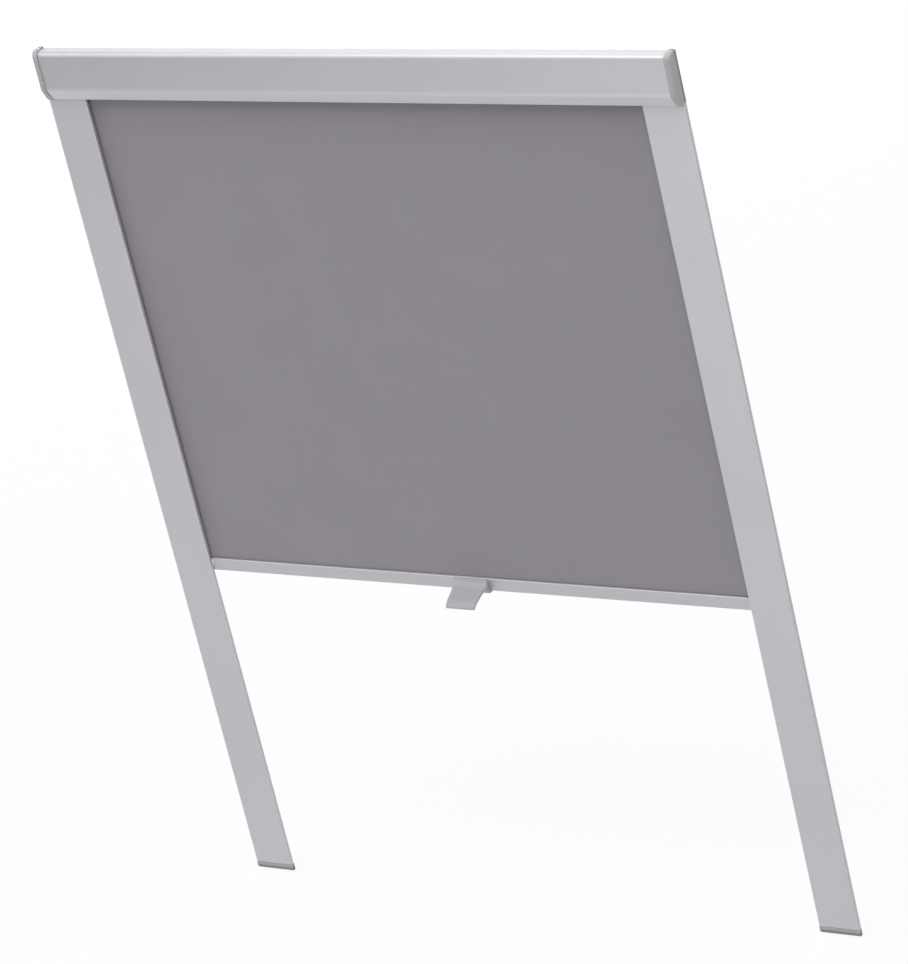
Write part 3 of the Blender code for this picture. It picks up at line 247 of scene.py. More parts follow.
def aluminium(name, low, high, along, smooth, dull, metallic, depth=0.00002, stretches=()):
    """Extruded aluminium, its die lines along X or Z."""
    made, tree, shader, place = skin_of(name, dull, metallic)
    lengthways = along == "X"
    skin = placed(tree, DIE_LINES, Place=place,
                  Across_X=ALONG_A_LINE if lengthways else ACROSS_A_LINE,
                  Across_Z=ACROSS_A_LINE if lengthways else ALONG_A_LINE)
    brighter = 1.2
    worn = placed(
        tree, RUBBED, Edge=edge_of(tree), Place=place,
        Colour=toned(tree, place, tint(tree, skin["Tone"], low, high), stretches),
        Bare=tuple(min(1.0, brighter * c) for c in high),
        Roughness=spanned(tree, skin["Tone"], smooth, dull - smooth), Smoothing=0.08,
    )
    painted(tree, shader, worn["Colour"], worn["Roughness"])
    raised(tree, shader, skin["Height"], distance=depth, strength=0.5)
    return made


def eased(node, piece, body, slot, material, rim=None):
    """Finer copy of a node that stands for it: arrises eased, curves smooth. The outer edges at
    a rim's distance from the middle along X may have a radius of their own."""
    weld, flat, at_rim = 1e-6, math.radians(0.4), 0.00005
    arris, corner, crisp = 0.00015, math.radians(30), math.radians(50)
    form = bmesh.new()
    form.from_mesh(nodes[node].data)
    bmesh.ops.remove_doubles(form, verts=form.verts, dist=weld)
    bmesh.ops.dissolve_limit(form, angle_limit=flat, verts=form.verts, edges=form.edges)
    if rim:
        reach, rim_radius = rim
        ring = [e for e in form.edges if e.is_convex
                and all(abs(abs(v.co.x) - reach) < at_rim for v in e.verts)]
        bmesh.ops.bevel(form, geom=ring, offset=rim_radius, segments=4, profile=0.5,
                        affect="EDGES", clamp_overlap=True)
    # A wide face with holes in it would fold over itself in the bevel, so it is cut up first.
    bmesh.ops.triangulate(form, faces=[f for f in form.faces if len(f.verts) > 4])
    sharp = [e for e in form.edges
             if len(e.link_faces) == 2 and e.calc_face_angle() > corner]
    rounds = bmesh.ops.bevel(form, geom=sharp, offset=arris, segments=2, profile=0.5,
                             affect="EDGES", clamp_overlap=True)
    mask = form.loops.layers.float.new("edge")
    for face in rounds["faces"]:
        for loop in face.loops:
            loop[mask] = 1.0
    for face in form.faces:
        face.smooth = True
    mesh = bpy.data.meshes.new(piece)
    form.to_mesh(mesh)
    form.free()
    mesh.set_sharp_from_angle(angle=crisp)
    draft = bpy.data.objects.new(piece + "_draft", mesh)
    bpy.context.scene.collection.objects.link(draft)
    weigh = draft.modifiers.new("weigh", "WEIGHTED_NORMAL")
    weigh.keep_sharp = True
    return stand_in(plain(draft, piece), material, slot, body, node)


def plain(draft, name):
    """Object with the draft's modifiers worked into its mesh; the draft goes."""
    bpy.context.view_layer.update()
    seen = draft.evaluated_get(bpy.context.evaluated_depsgraph_get())
    mesh = bpy.data.meshes.new_from_object(seen)
    mesh.name = name
    bpy.data.objects.remove(draft)
    made = bpy.data.objects.new(name, mesh)
    bpy.context.scene.collection.objects.link(made)
    return made


def stand_in(made, material, slot, body, *names):
    """Give a piece its material and body, and let it stand for nodes. The slot is not used."""
    made.data.materials.clear()
    made.data.materials.append(material)
    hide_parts(*names)
    if body:
        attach(made, body)
    return made


mill = aluminium("mill_aluminium", low=(0.37, 0.38, 0.39), high=(0.51, 0.51, 0.52), along="X",
                 smooth=0.44, dull=0.62, metallic=0.7, depth=0.00005)
eased("cassette_back", "head_back_profile", "frame", "head_back", mill)


# The brackets at the head's ends: plates pressed from zinc plated steel, whose plating has
# a faint spangle. Two screws hold each one on the back profile's screw ports.
zinc, tree, shader, place = skin_of("zinc_plate", roughness=0.4, metallic=0.9)
spangle = tree.nodes.new("ShaderNodeTexVoronoi")
spangle.inputs["Scale"].default_value = 260.0
tree.links.new(place, spangle.inputs["Vector"])
tone = mixed(tree, (spangle.outputs["Distance"], 0.5), (noise(tree, place, scale=60.0), 0.5))
worn = placed(
    tree, RUBBED, Edge=edge_of(tree), Place=place,
    Colour=tint(tree, tone, (0.42, 0.42, 0.43), (0.62, 0.63, 0.65)), Bare=(0.72, 0.72, 0.72),
    Roughness=spanned(tree, tone, least=0.28, span=0.25), Smoothing=0.1,
)
painted(tree, shader, worn["Colour"], worn["Roughness"])
raised(tree, shader, spangle.outputs["Distance"], distance=0.00002, strength=0.2)
for side in ("left", "right"):
    eased("bracket_" + side, "bracket_plate_" + side, "frame", "bracket", zinc)

# The bracket screws: countersunk steel screws, cold headed with a cross recess, their
# threads rolled, then plated.
bright, tree, shader, place = skin_of("bright_screw_steel", roughness=0.3, metallic=1.0)
tone = mixed(tree, (noise(tree, place, scale=160.0), 0.6), (noise(tree, place, scale=2600.0), 0.4))
painted(tree, shader, tint(tree, tone, (0.48, 0.48, 0.49), (0.70, 0.70, 0.72)),
        spanned(tree, tone, least=0.2, span=0.2))


def geometry_tree(name, inputs):
    """Geometry node tree with number inputs of (label, default), and a geometry socket in."""
    tree = bpy.data.node_groups.new(name, "GeometryNodeTree")
    tree.interface.new_socket("Geometry", in_out="INPUT", socket_type="NodeSocketGeometry")
    for label, value in inputs:
        kind = "NodeSocketInt" if isinstance(value, int) else "NodeSocketFloat"
        tree.interface.new_socket(label, in_out="INPUT", socket_type=kind).default_value = value
    tree.interface.new_socket("Geometry", in_out="OUTPUT", socket_type="NodeSocketGeometry")
    return tree, tree.nodes.new("NodeGroupInput").outputs, tree.nodes.new("NodeGroupOutput")


def step(tree, kind, settings=(), **sockets):
    """Geometry node with its settings and fed sockets; a socket is named or numbered _1."""
    node = tree.nodes.new(kind)
    for name, value in settings:
        setattr(node, name, value)
    for name, value in sockets.items():
        numbered = name.startswith("_")
        socket = node.inputs[int(name[1:]) if numbered else name.replace("_", " ")]
        if isinstance(value, bpy.types.NodeSocket):
            tree.links.new(value, socket)
        else:
            socket.default_value = value
    return node.outputs


def finish_tree(tree, end, shape, material):
    """Realized instances with their material, to the tree's output."""
    solid = step(tree, "GeometryNodeRealizeInstances", Geometry=shape)[0]
    dressed = step(tree, "GeometryNodeSetMaterial", Geometry=solid, Material=material)[0]
    tree.links.new(dressed, end.inputs[0])


def grown(name, tree, mesh, **values):
    """Plain mesh that a geometry tree makes from a starting mesh."""
    draft = bpy.data.objects.new(name + "_draft", mesh)
    bpy.context.scene.collection.objects.link(draft)
    growth = draft.modifiers.new("growth", "NODES")
    growth.node_group = tree
    for item in tree.interface.items_tree:
        if item.in_out == "INPUT" and item.name.replace(" ", "_") in values:
            growth[item.identifier] = values[item.name.replace(" ", "_")]
    return plain(draft, name)


screw_tree, given, end = geometry_tree("cross_recess_screw", [
    ("Head radius", 0.0024), ("Shank radius", 0.0012), ("Head height", 0.0014),
    ("Length", 0.008), ("Recess", 0.0029), ("Slot", 0.0005), ("Slot rise", -0.0003),
    ("Turns", 7.0), ("Thread", 0.0002), ("Thread start", 0.0022), ("Thread share", 0.7),
])
head = step(screw_tree, "GeometryNodeMeshCone", Vertices=24, Radius_Top=given["Shank radius"],
            Radius_Bottom=given["Head radius"], Depth=given["Head height"])[0]
size = step(screw_tree, "ShaderNodeCombineXYZ", X=given["Recess"], Y=given["Slot"],
            Z=given["Head height"])[0]
blade = step(screw_tree, "GeometryNodeMeshCube", Size=size)[0]
rise = step(screw_tree, "ShaderNodeCombineXYZ", Z=given["Slot rise"])[0]
for turn in (0.0, math.pi / 2):
    slot = step(screw_tree, "GeometryNodeTransform", Geometry=blade, Translation=rise,
                Rotation=(0.0, 0.0, turn))[0]
    head = step(screw_tree, "GeometryNodeMeshBoolean",
                [("operation", "DIFFERENCE"), ("solver", "EXACT")], Mesh_1=head, Mesh_2=slot)[0]
shank = step(screw_tree, "GeometryNodeMeshCylinder", Vertices=16, Radius=given["Shank radius"],
             Depth=given["Length"])[0]
half = step(screw_tree, "ShaderNodeMath", [("operation", "MULTIPLY")], _0=given["Length"],
            _1=0.5)[0]
drop = step(screw_tree, "ShaderNodeCombineXYZ", Z=half)[0]
shank = step(screw_tree, "GeometryNodeTransform", Geometry=shank, Translation=drop)[0]
threaded = step(screw_tree, "ShaderNodeMath", [("operation", "MULTIPLY")], _0=given["Length"],
                _1=given["Thread share"])[0]
spiral = step(screw_tree, "GeometryNodeCurveSpiral", Resolution=14, Rotations=given["Turns"],
              Start_Radius=given["Shank radius"], End_Radius=given["Shank radius"],
              Height=threaded)[0]
ridge = step(screw_tree, "GeometryNodeCurvePrimitiveCircle", Resolution=3,
             Radius=given["Thread"])[0]
thread = step(screw_tree, "GeometryNodeCurveToMesh", Curve=spiral, Profile_Curve=ridge,
              Fill_Caps=True)[0]
start = step(screw_tree, "ShaderNodeCombineXYZ", Z=given["Thread start"])[0]
thread = step(screw_tree, "GeometryNodeTransform", Geometry=thread, Translation=start)[0]
whole = screw_tree.nodes.new("GeometryNodeJoinGeometry")
for part in (head, shank, thread):
    screw_tree.links.new(part, whole.inputs[0])
inwards = step(screw_tree, "GeometryNodeInputNamedAttribute",
               [("data_type", "FLOAT_VECTOR")], Name="inwards")[0]
aim = step(screw_tree, "FunctionNodeAlignRotationToVector", [("axis", "Z")], Vector=inwards)[0]
screws = step(screw_tree, "GeometryNodeInstanceOnPoints", Points=given["Geometry"],
              Instance=whole.outputs[0], Rotation=aim)[0]
finish_tree(screw_tree, end, screws, bright)

names = ["bracket_screw_" + side + level for side in ("left", "right")
         for level in ("_top", "_bottom")]
spots, ways = [], []
for name in names:
    low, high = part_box(name)
    at_left = high.x < 0
    spots.append((low.x if at_left else high.x, (low.y + high.y) / 2, (low.z + high.z) / 2))
    ways.extend((1.0 if at_left else -1.0, 0.0, 0.0))
screw_places = bpy.data.meshes.new("screw_places")
screw_places.from_pydata(spots, [], [])
screw_places.attributes.new("inwards", "FLOAT_VECTOR", "POINT").data.foreach_set("vector", ways)
low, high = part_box(names[0])
stand_in(grown("bracket_screws", screw_tree, screw_places, Head_radius=(high.y - low.y) / 2,
               Length=high.x - low.x), bright, "steel", "frame", *names)


# The roller's fixed end: a bright steel shaft set in the right bracket, with a nylon anchor
# pressed on it that holds the spring's end. At the left a nylon bush in the bracket carries
# the idle pin.

# Fine grain of moulded plastic: spark-eroded pits and a slow change of tone.
GRAIN, given, put = effect_group(
    "moulded_grain", [("Place", PLACE, None), ("Pits", NUMBER, 2500.0)],
    [("Tone", NUMBER), ("Gloss", NUMBER), ("Height", NUMBER)],
)
pits = GRAIN.nodes.new("ShaderNodeTexVoronoi")
feed(GRAIN, pits.inputs["Vector"], given["Place"])
feed(GRAIN, pits.inputs["Scale"], given["Pits"])
fine = noise(GRAIN, given["Place"], scale=1400.0)
feed(GRAIN, put["Tone"], mixed(GRAIN, (noise(GRAIN, given["Place"], scale=35.0, detail=3.0), 0.6),
                               (fine, 0.4)))
feed(GRAIN, put["Gloss"], noise(GRAIN, given["Place"], scale=140.0, detail=3.0))
feed(GRAIN, put["Height"], mixed(GRAIN, (pits.outputs["Distance"], 0.7), (fine, 0.3)))


def moulded(name, low, high, smooth, dull, depth=0.00005, pits=2200.0, stretches=()):
    """Moulded plastic, rubbed smoother along its edges."""
    made, tree, shader, place = skin_of(name, dull)
    skin = placed(tree, GRAIN, Place=place, Pits=pits)
    paler = 1.08
    worn = placed(
        tree, RUBBED, Edge=edge_of(tree), Place=place,
        Colour=toned(tree, place, tint(tree, skin["Tone"], low, high), stretches),
        Bare=tuple(paler * c for c in high),
        Roughness=spanned(tree, skin["Gloss"], smooth, dull - smooth), Smoothing=0.12,
    )
    painted(tree, shader, worn["Colour"], worn["Roughness"])
    raised(tree, shader, skin["Height"], distance=depth, strength=0.7)
    return made


def dress(material, *names):
    """Give CAD nodes a material."""
    for name in names:
        for slot in nodes[name].material_slots:
            slot.material = material


nylon = moulded("natural_nylon", low=(0.66, 0.66, 0.64), high=(0.76, 0.76, 0.74), smooth=0.30,
                dull=0.45, depth=0.00001, pits=1200.0)
ground, tree, shader, place = skin_of("ground_steel", roughness=0.25, metallic=1.0)
rings = noise(tree, place, scale=1.0, detail=3.0, stretch=(1500.0, 40.0, 40.0))
painted(tree, shader, tint(tree, rings, (0.50, 0.50, 0.51), (0.70, 0.70, 0.71)),
        spanned(tree, rings, least=0.15, span=0.2))
dress(ground, "spring_shaft", "idle_pin")
dress(nylon, "spring_anchor", "roller_bush", "spring_plug", "idle_plug")

# The spring: hard drawn oiled wire, coiled round the shaft. The anchor holds one end, and the
# spring plug turns the other with the tube.
wire, tree, shader, place = skin_of("oiled_spring_wire", roughness=0.3, metallic=1.0)
bands = noise(tree, place, scale=700.0, detail=3.0)
painted(tree, shader, tint(tree, bands, (0.18, 0.18, 0.20), (0.36, 0.36, 0.39)),
        spanned(tree, bands, least=0.2, span=0.25))
coil_tree, given, end = geometry_tree("wire_coil", [
    ("Radius", 0.0044), ("Wire", 0.0006), ("Turns", 24.0), ("Reach", 0.106),
    ("Start", 0.16), ("Axis Y", 0.0119), ("Axis Z", -0.0209),
])
coil = step(coil_tree, "GeometryNodeCurveSpiral", Resolution=28, Rotations=given["Turns"],
            Start_Radius=given["Radius"], End_Radius=given["Radius"], Height=given["Reach"])[0]
round_wire = step(coil_tree, "GeometryNodeCurvePrimitiveCircle", Resolution=8,
                  Radius=given["Wire"])[0]
coil = step(coil_tree, "GeometryNodeCurveToMesh", Curve=coil, Profile_Curve=round_wire,
            Fill_Caps=True)[0]
start = step(coil_tree, "ShaderNodeCombineXYZ", X=given["Start"], Y=given["Axis Y"],
             Z=given["Axis Z"])[0]
coil = step(coil_tree, "GeometryNodeTransform", Geometry=coil, Translation=start,
            Rotation=(0.0, math.pi / 2, 0.0))[0]
finish_tree(coil_tree, end, coil, wire)
low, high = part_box("torsion_spring")
gauge, windings = 0.0006, 24.0
stand_in(grown("roller_spring", coil_tree, bpy.data.meshes.new("coil_start"),
               Radius=(high.y - low.y) / 2 - gauge, Wire=gauge, Turns=windings,
               Reach=high.x - low.x - 2 * gauge, Start=low.x + gauge,
               Axis_Y=(low.y + high.y) / 2, Axis_Z=(low.z + high.z) / 2),
         wire, "spring", "roller", "torsion_spring")
dress(wire, "brake_spring_left", "brake_spring_right")


# The roller tube: drawn steel with a groove for the cloth's edge, galvanised, with the draw
# marks along it. A nylon spline holds the cloth in the groove.
tube_skin, tree, shader, place = skin_of("galvanised_tube", roughness=0.35, metallic=0.95)
drawn = noise(tree, place, scale=1.0, detail=3.0, stretch=(6.0, 1600.0, 1600.0))
tone = mixed(tree, (drawn, 0.6), (noise(tree, place, scale=90.0, detail=3.0), 0.4))
painted(tree, shader, tint(tree, tone, (0.42, 0.43, 0.44), (0.66, 0.66, 0.68)),
        spanned(tree, tone, least=0.22, span=0.25))
dress(tube_skin, "roller_tube")
dress(nylon, "roller_spline", "bar_spline")


# The cloth: woven polyester with a blackout coating, cut 561 mm wide. It hangs taut from the
# roller to the bar, matt and even, with a fine plain weave.
cloth, tree, shader, _ = skin_of("blackout_cloth_weave", roughness=0.8)
shader.inputs["Specular IOR Level"].default_value = 0.25
shader.inputs["Sheen Weight"].default_value = 0.15
shader.inputs["Sheen Roughness"].default_value = 0.6
WEAVE, given, put = effect_group(
    "plain_weave", [("Place", PLACE, None), ("Yarn", NUMBER, 0.0009)],
    [("Tone", NUMBER), ("Height", NUMBER)],
)
axes = WEAVE.nodes.new("ShaderNodeSeparateXYZ")
WEAVE.links.new(given["Place"], axes.inputs["Vector"])
turns = maths(WEAVE, "DIVIDE", 2 * math.pi, given["Yarn"])
warp = maths(WEAVE, "SINE", maths(WEAVE, "MULTIPLY", axes.outputs["X"], turns))
weft = maths(WEAVE, "SINE", maths(WEAVE, "MULTIPLY", axes.outputs["Y"], turns))
yarns = noise(WEAVE, given["Place"], scale=1.0, stretch=(2200.0, 12.0, 1.0))
picks = noise(WEAVE, given["Place"], scale=1.0, stretch=(12.0, 2200.0, 1.0))
cloud = noise(WEAVE, given["Place"], scale=14.0, detail=3.0)
tone = mixed(WEAVE, (yarns, 0.35), (picks, 0.35), (cloud, 0.3))
slub_height = 1.5
feed(WEAVE, put["Tone"], tone)
feed(WEAVE, put["Height"], maths(WEAVE, "ADD", maths(WEAVE, "MULTIPLY", warp, weft),
                                 maths(WEAVE, "MULTIPLY", tone, slub_height)))
chart = tree.nodes.new("ShaderNodeUVMap")
chart.uv_map = "cloth"
weave = placed(tree, WEAVE, Place=chart.outputs["UV"])
painted(tree, shader, tint(tree, weave["Tone"], (0.236, 0.222, 0.249), (0.318, 0.300, 0.333)),
        spanned(tree, weave["Tone"], least=0.7, span=0.2))
raised(tree, shader, weave["Height"], distance=0.00004, strength=0.3)


def cloth_piece(name, rows, across, thickness):
    """Closed sheet through rows of (y, z, length so far), with a UV map in metres."""
    form = bmesh.new()
    chart = form.loops.layers.uv.new("cloth")
    grid, where = [], {}
    for i, (y, z, run) in enumerate(rows):
        before, after = rows[max(i - 1, 0)], rows[min(i + 1, len(rows) - 1)]
        along = Vector((after[0] - before[0], after[1] - before[1])).normalized()
        off = Vector((-along.y, along.x)) * thickness / 2
        grid.append([[form.verts.new((x, y + s * off.x, z + s * off.y)) for x in across]
                     for s in (1, -1)])
        for layer in grid[-1]:
            for x, vert in zip(across, layer):
                where[vert] = (x, run)
    for upper, lower in zip(grid, grid[1:]):
        for k in range(len(across) - 1):
            form.faces.new((upper[0][k], upper[0][k + 1], lower[0][k + 1], lower[0][k]))
            form.faces.new((upper[1][k + 1], upper[1][k], lower[1][k], lower[1][k + 1]))
        form.faces.new((upper[0][0], lower[0][0], lower[1][0], upper[1][0]))
        form.faces.new((upper[0][-1], upper[1][-1], lower[1][-1], lower[0][-1]))
    for row in (grid[0], grid[-1]):
        for k in range(len(across) - 1):
            form.faces.new((row[0][k], row[1][k], row[1][k + 1], row[0][k + 1]))
    bmesh.ops.recalc_face_normals(form, faces=form.faces)
    for face in form.faces:
        face.smooth = True
        for loop in face.loops:
            loop[chart].uv = where[loop.vert]
    mesh = bpy.data.meshes.new(name)
    form.to_mesh(mesh)
    form.free()
    mesh.set_sharp_from_angle(angle=math.radians(40))
    made = bpy.data.objects.new(name, mesh)
    bpy.context.scene.collection.objects.link(made)
    return made


def spread(start, end, parts):
    """Even places from a start to an end."""
    return [start + (end - start) * i / parts for i in range(parts + 1)]


# The drawn part of the cloth, held by the splines of roller and bar. It has rows of points only
# at its ends and middle, enough for an even stretch between them.
low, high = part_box("fabric_panel")
plane = (low.y + high.y) / 2
held_end = 0.002
levels = [high.z, high.z - held_end, (low.z + high.z) / 2, low.z + held_end, low.z]
panel = stand_in(
    cloth_piece("blackout_cloth", [(plane, z, z) for z in levels], spread(low.x, high.x, 24),
                high.y - low.y),
    cloth, "fabric", None, "fabric_panel",
)
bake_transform(panel)

# The cloth still on the roller: the same sheet wound nearly five times round the tube,
# inwards from where the drawn part leaves it. Each lap is round but for the quarter turn in
# which it steps down to the one below, over the tube's groove.
low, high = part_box("fabric_roll")
tube_low, tube_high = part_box("roller_tube")
axis = (tube_low + tube_high) / 2
outer = axis.y - plane
thick, pitch, clearance, quarter = 0.0003, 0.00032, 0.0003, 0.25
laps = (outer - (tube_high.y - tube_low.y) / 2 - thick / 2 - clearance) / pitch
rows_a_lap = 48
count = round(rows_a_lap * laps)
rows, run = [], 0.0
for i in range(count + 1):
    turn = laps * i / count
    angle = math.pi - 2 * math.pi * turn
    reach = outer - pitch * (math.floor(turn) + min(1.0, (turn % 1) / quarter))
    rows.append((axis.y + reach * math.cos(angle), axis.z + reach * math.sin(angle), run))
    run += reach * 2 * math.pi * laps / count
wound = stand_in(cloth_piece("wound_cloth", rows, spread(low.x, high.x, 12), thick), cloth,
                 "fabric", "roller", "fabric_roll")


# The bottom bar: a slim hollow extrusion, anodised silver grey, that the cloth's spline slides
# into. A nylon glide with a leaf spring is pushed in each end.
silver = aluminium("anodised_bar", low=(0.464, 0.450, 0.487), high=(0.557, 0.542, 0.580),
                   along="X", smooth=0.34, dull=0.46, metallic=0.55)
eased("bottom_bar", "bottom_bar_profile", "bar", "bar", silver)
for side in ("left", "right"):
    eased("glide_" + side, "bar_glide_" + side, "bar", "nylon", nylon)


# The pull tab: one moulding in light grey plastic, clipped round the bar's middle, its edges
# rubbed a little smoother by fingers.
tab_plastic = moulded("tab_plastic", low=(0.373, 0.360, 0.383), high=(0.442, 0.427, 0.452),
                      smooth=0.36, dull=0.50)
eased("pull_handle", "pull_tab", "bar", "tab", tab_plastic)


# The side rails: a base with holes for its screws, and a flat cover clipped over it that hides
# them. Both are extruded aluminium, anodised like the head, with the die lines along them.
rail_face = aluminium("anodised_rail", low=(0.487, 0.471, 0.510), high=(0.594, 0.578, 0.618),
                      along="Z", smooth=0.40, dull=0.54, metallic=0.50)
rail_body = aluminium("anodised_rail_base", low=(0.462, 0.452, 0.483),
                      high=(0.567, 0.557, 0.588), along="Z", smooth=0.40, dull=0.56,
                      metallic=0.55)
for side in ("left", "right"):
    eased("rail_base_" + side, "rail_inner_" + side, "frame", "rail", rail_body)
    eased("rail_cover_" + side, "rail_front_" + side, "frame", "rail", rail_face)

# The rail feet: plugs moulded in grey plastic, pushed into the rails' lower ends. Painted shade
# darkens their rounded lower half.
foot_shade = ("Z", -0.7916, -0.7932, 0.6, PAINTED_SHADE)
foot_plastic = moulded("foot_plastic", low=(0.372, 0.357, 0.374), high=(0.438, 0.422, 0.440),
                       smooth=0.42, dull=0.56, stretches=[foot_shade])
for side in ("left", "right"):
    eased("rail_foot_" + side, "foot_plug_" + side, "frame", "cap", foot_plastic)


# The pile strips: hairs of grey polypropylene woven into a thin backing. One slides in each
# rail's mouth and one behind the head's lower lip, where they brush the cloth.
pile_hair, tree, shader, place = skin_of("pile_hair", roughness=0.85)
shader.inputs["Sheen Weight"].default_value = 0.3
tone = mixed(tree, (noise(tree, place, scale=1800.0), 0.6),
             (noise(tree, place, scale=120.0, detail=3.0), 0.4))
feed(tree, shader.inputs["Base Color"], tint(tree, tone, (0.13, 0.13, 0.135), (0.30, 0.30, 0.31)))
pile_tree, given, end = geometry_tree("pile_strip", [
    ("Seed", 3), ("Hair", 0.00013), ("Reach", 0.0023), ("Shortest", 0.86),
])
stray, half_turn, lean_down, lean_up, sideways = 0.00009, 3.14, -1.67, -1.47, 0.1
nudge = step(pile_tree, "FunctionNodeRandomValue", [("data_type", "FLOAT_VECTOR")],
             _0=(-stray, 0.0, -stray), _1=(stray, 0.0, stray), Seed=given["Seed"])[0]
roots = step(pile_tree, "GeometryNodeSetPosition", Geometry=given["Geometry"], Offset=nudge)[0]
hair = step(pile_tree, "GeometryNodeMeshCone", Vertices=3, Radius_Top=0.0,
            Radius_Bottom=given["Hair"], Depth=given["Reach"])[0]
lean = step(pile_tree, "FunctionNodeRandomValue", [("data_type", "FLOAT_VECTOR")],
            _0=(lean_down, -half_turn, -sideways), _1=(lean_up, half_turn, sideways),
            Seed=given["Seed"])[0]
tall = step(pile_tree, "FunctionNodeRandomValue", [("data_type", "FLOAT")],
            _2=given["Shortest"], _3=1.0, Seed=given["Seed"])[1]
hairs = step(pile_tree, "GeometryNodeInstanceOnPoints", Points=roots, Instance=hair,
             Rotation=lean, Scale=tall)[0]
finish_tree(pile_tree, end, hairs, pile_hair)


def pile_strip(node, piece, long_axis, pitch, hair):
    """Backing and rows of hairs that fill a strip's box, the hairs towards the cloth."""
    low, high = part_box(node)
    size = high - low
    backing, margin = 0.0004, 1.5 * hair
    wide_axis = "x" if long_axis == "z" else "z"
    across = getattr(size, wide_axis)
    rows = max(2, round((across - 2 * margin) / pitch) + 1)
    form = bmesh.new()
    for i in range(round(getattr(size, long_axis) / pitch)):
        for k in range(rows):
            spot = Vector((0.0, low.y + backing / 2, 0.0))
            setattr(spot, long_axis, getattr(low, long_axis) + pitch * (i + 0.5))
            setattr(spot, wide_axis, getattr(low, wide_axis) + margin
                    + (across - 2 * margin) * k / (rows - 1))
            form.verts.new(spot)
    mesh = bpy.data.meshes.new(piece + "_roots")
    form.to_mesh(mesh)
    form.free()
    made = grown(piece, pile_tree, mesh, Reach=size.y - backing, Hair=hair)
    base = bmesh.new()
    base.from_mesh(made.data)
    band = bmesh.ops.create_cube(base, size=1.0)["verts"]
    bmesh.ops.scale(base, verts=band, vec=(size.x, backing, size.z))
    bmesh.ops.translate(base, verts=band, vec=((low.x + high.x) / 2, low.y + backing / 2,
                                               (low.z + high.z) / 2))
    base.to_mesh(made.data)
    base.free()
    return stand_in(made, pile_hair, "pile", "frame", node)


for side in ("left", "right"):
    pile_strip("pile_seal_" + side, "rail_pile_" + side, "z", pitch=0.0004, hair=0.00016)
pile_strip("head_light_seal", "head_pile", "x", pitch=0.00045, hair=0.0002)


# The head cover: one aluminium extrusion, anodised silver grey, snapped over the back profile.
# Its top is rounded over, with painted shade darkening it towards the back, and its lower lip
# slopes back to the cloth and carries a painted highlight that makes it brighter.
lip_highlight = ("Z", -0.0232, -0.0275, 0.22, PAINTED_HIGHLIGHT)
back_shade = ("Y", -0.0042, -0.0018, 0.14, PAINTED_SHADE)
head_skin = aluminium("anodised_head", low=(0.440, 0.424, 0.462), high=(0.550, 0.534, 0.572),
                      along="X", smooth=0.36, dull=0.48, metallic=0.75,
                      stretches=[lip_highlight, back_shade])
eased("cassette_cover", "head_cover", "frame", "head_cover", head_skin)

# The end caps: moulded in grey plastic, a little proud of the cover all round, pushed into
# the head's ends on a hollow spigot. The rim next to the cover is rounded, and painted shade
# darkens the back edge.
cap_back_shade = ("Y", -0.0032, -0.0016, 0.75, PAINTED_SHADE)
cap_plastic = moulded("cap_plastic", low=(0.386, 0.371, 0.382), high=(0.460, 0.441, 0.452),
                      smooth=0.40, dull=0.54, stretches=[cap_back_shade])
rim_reach, rim_radius = 0.3008, 0.0007
for side in ("left", "right"):
    eased("end_cap_" + side, "head_cap_" + side, "frame", "cap", cap_plastic,
          rim=(rim_reach, rim_radius))


# The room: a wide pale floor under the feet, which also fills the view behind the blind. It is
# matt board, lifted to paper white where it is seen, so a soft shadow stays. Far behind it is
# even white, and what the blind mirrors of it gets darker far to the left.
half_width, set_back, gap = 14.0, 6.0, 0.0004
form = bmesh.new()
bmesh.ops.create_grid(form, x_segments=1, y_segments=1, size=half_width)
bmesh.ops.translate(form, verts=form.verts, vec=(0.0, set_back, cad_box[0][2] - gap))
floor_mesh = bpy.data.meshes.new("studio_floor")
form.to_mesh(floor_mesh)
form.free()


def seen_directly(tree):
    """1 for what the camera sees itself, in a reflection or through glass, else 0."""
    ray = tree.nodes.new("ShaderNodeLightPath").outputs
    return maths(tree, "MAXIMUM", ray["Is Camera Ray"],
                 maths(tree, "MAXIMUM", ray["Is Glossy Ray"], ray["Is Transmission Ray"]))


studio_floor = bpy.data.objects.new("studio_floor", floor_mesh)
bpy.context.scene.collection.objects.link(studio_floor)
board = bpy.data.materials.new("pale_floor")
board.use_nodes = True
tree = board.node_tree
tree.nodes.clear()
matt = tree.nodes.new("ShaderNodeBsdfDiffuse")
feed(tree, matt.inputs["Color"], (0.88, 0.88, 0.88))
paper = tree.nodes.new("ShaderNodeEmission")
feed(tree, paper.inputs["Color"], (1.0, 1.0, 1.0))
spot = tree.nodes.new("ShaderNodeTexCoord").outputs["Object"]
ray = tree.nodes.new("ShaderNodeLightPath").outputs
white, darker_by, lifted = 1.0, 0.6, 0.92
leftwards = maths(tree, "MULTIPLY", between(tree, spot, "X", start=-0.9, end=-1.9),
                  ray["Is Glossy Ray"])
feed(tree, paper.inputs["Strength"], mixed(tree, (1.0, white), (leftwards, -darker_by)))
backwards = maths(tree, "MULTIPLY", between(tree, spot, "Y", start=1.0, end=2.4),
                  ray["Is Camera Ray"])
lift = tree.nodes.new("ShaderNodeMixShader")
feed(tree, lift.inputs["Fac"],
     mixed(tree, (seen_directly(tree), lifted), (backwards, white - lifted)))
tree.links.new(matt.outputs["BSDF"], lift.inputs[1])
tree.links.new(paper.outputs["Emission"], lift.inputs[2])
surface = tree.nodes.new("ShaderNodeOutputMaterial").inputs["Surface"]
tree.links.new(lift.outputs["Shader"], surface)
floor_mesh.materials.append(board)

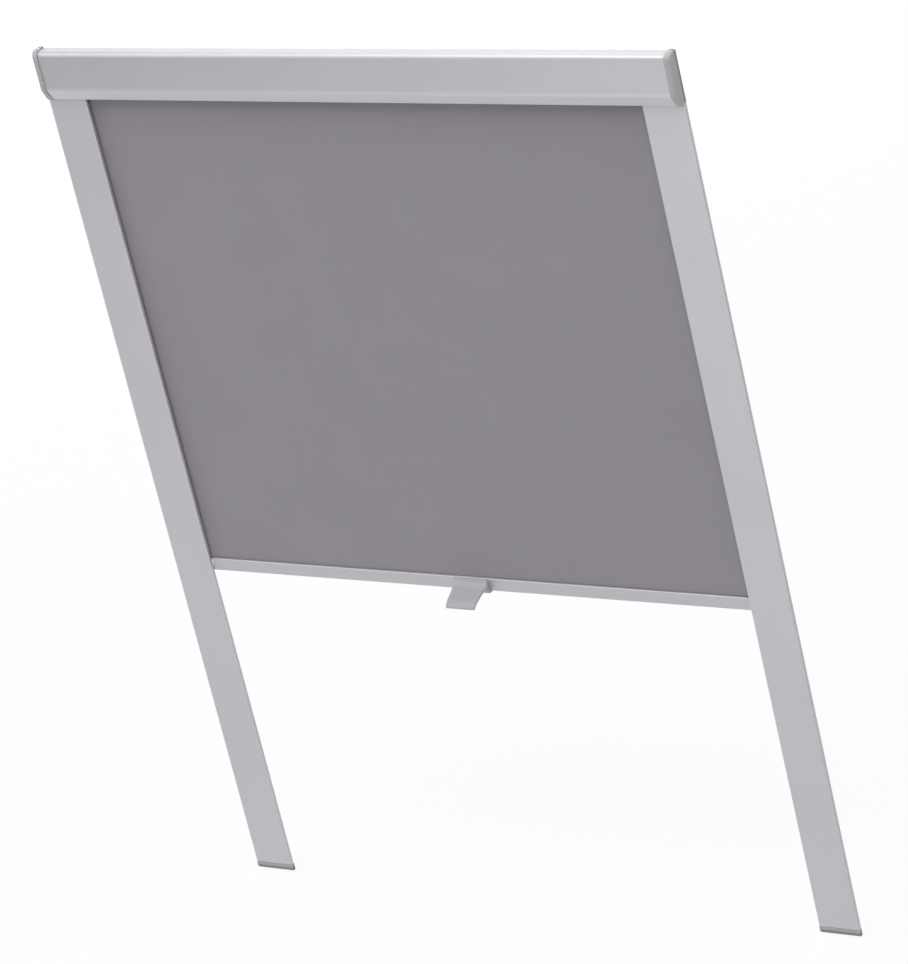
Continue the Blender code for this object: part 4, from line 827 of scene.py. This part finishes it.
# The light: an even white surround and nine soft lamps. Those on the left and above draw the
# narrow shadows on the cloth, two over the head light its top, weak ones fill in from the
# right and below, and one lights the back.
room = bpy.data.worlds.new("room")
bpy.context.scene.world = room
room.use_nodes = True
walls = room.node_tree.nodes["Background"]
feed(room.node_tree, walls.inputs["Color"], (1.0, 0.985, 0.988))
lit, mirrored = 0.15, 0.9
ray = room.node_tree.nodes.new("ShaderNodeLightPath").outputs
feed(room.node_tree, walls.inputs["Strength"],
     mixed(room.node_tree, (seen_directly(room.node_tree), mirrored - lit),
           (ray["Is Camera Ray"], white - mirrored), (1.0, lit)))
for name, at, aim, size, power in (
    ("lamp_left", (-3.4, -1.3, 1.2), (0.0, 0.0, -0.35), 2.2, 18.0),
    ("lamp_far_left", (-3.6, -0.9, 0.6), (0.0, 0.0, -0.35), 1.2, 29.5),
    ("lamp_above", (-0.8, -1.3, 3.2), (0.0, 0.0, -0.2), 2.2, 58.0),
    ("lamp_over_head", (-0.7, 1.0, 1.3), (0.05, 0.0, -0.1), 1.3, 6.6),
    ("lamp_over_right", (1.0, -0.3, 1.3), (0.2, 0.0, -0.1), 1.2, 18.0),
    ("lamp_right", (2.6, -2.6, 0.6), (0.1, 0.0, -0.3), 1.6, 2.5),
    ("lamp_low_front", (0.1, -1.6, -0.7), (0.1, 0.0, -0.2), 1.0, 5.0),
    ("lamp_low_left", (-1.2, -1.6, -0.6), (0.1, 0.0, -0.2), 0.8, 0.7),
    ("lamp_behind", (-1.8, 2.6, -0.4), (0.0, 0.0, -0.35), 1.8, 80.0),
):
    bulb = bpy.data.lights.new(name, "AREA")
    bulb.size = size
    bulb.energy = power
    lamp = bpy.data.objects.new(name, bulb)
    lamp.location = at
    lamp.rotation_euler = (Vector(aim) - Vector(at)).to_track_quat("-Z", "Y").to_euler()
    bpy.context.scene.collection.objects.link(lamp)

# The camera: far off with a long lens, up on the right, and rolled so that the rails slant.
# Its place was fitted to eleven edges of the blind in the photograph.
eye = bpy.data.cameras.new("camera")
eye.sensor_fit = "HORIZONTAL"
eye.sensor_width = 36.0
focal_pixels, picture_pixels = 4771.46, 908.0
eye.lens = focal_pixels * eye.sensor_width / picture_pixels
eye.clip_end = 60.0
camera = bpy.data.objects.new("camera", eye)
right = Vector((0.841576463, 0.495795083, -0.214327403))
down = Vector((0.052160442, -0.469544629, -0.881366757))
ahead = Vector((-0.537613256, 0.730557742, -0.421018904))
stand = Matrix((right, -down, -ahead)).transposed().to_4x4()
stand.translation = (2.141714, -2.902906, 1.288383)
camera.matrix_world = stand
bpy.context.scene.collection.objects.link(camera)
bpy.context.scene.camera = camera
bpy.context.scene.view_settings.view_transform = "Standard"
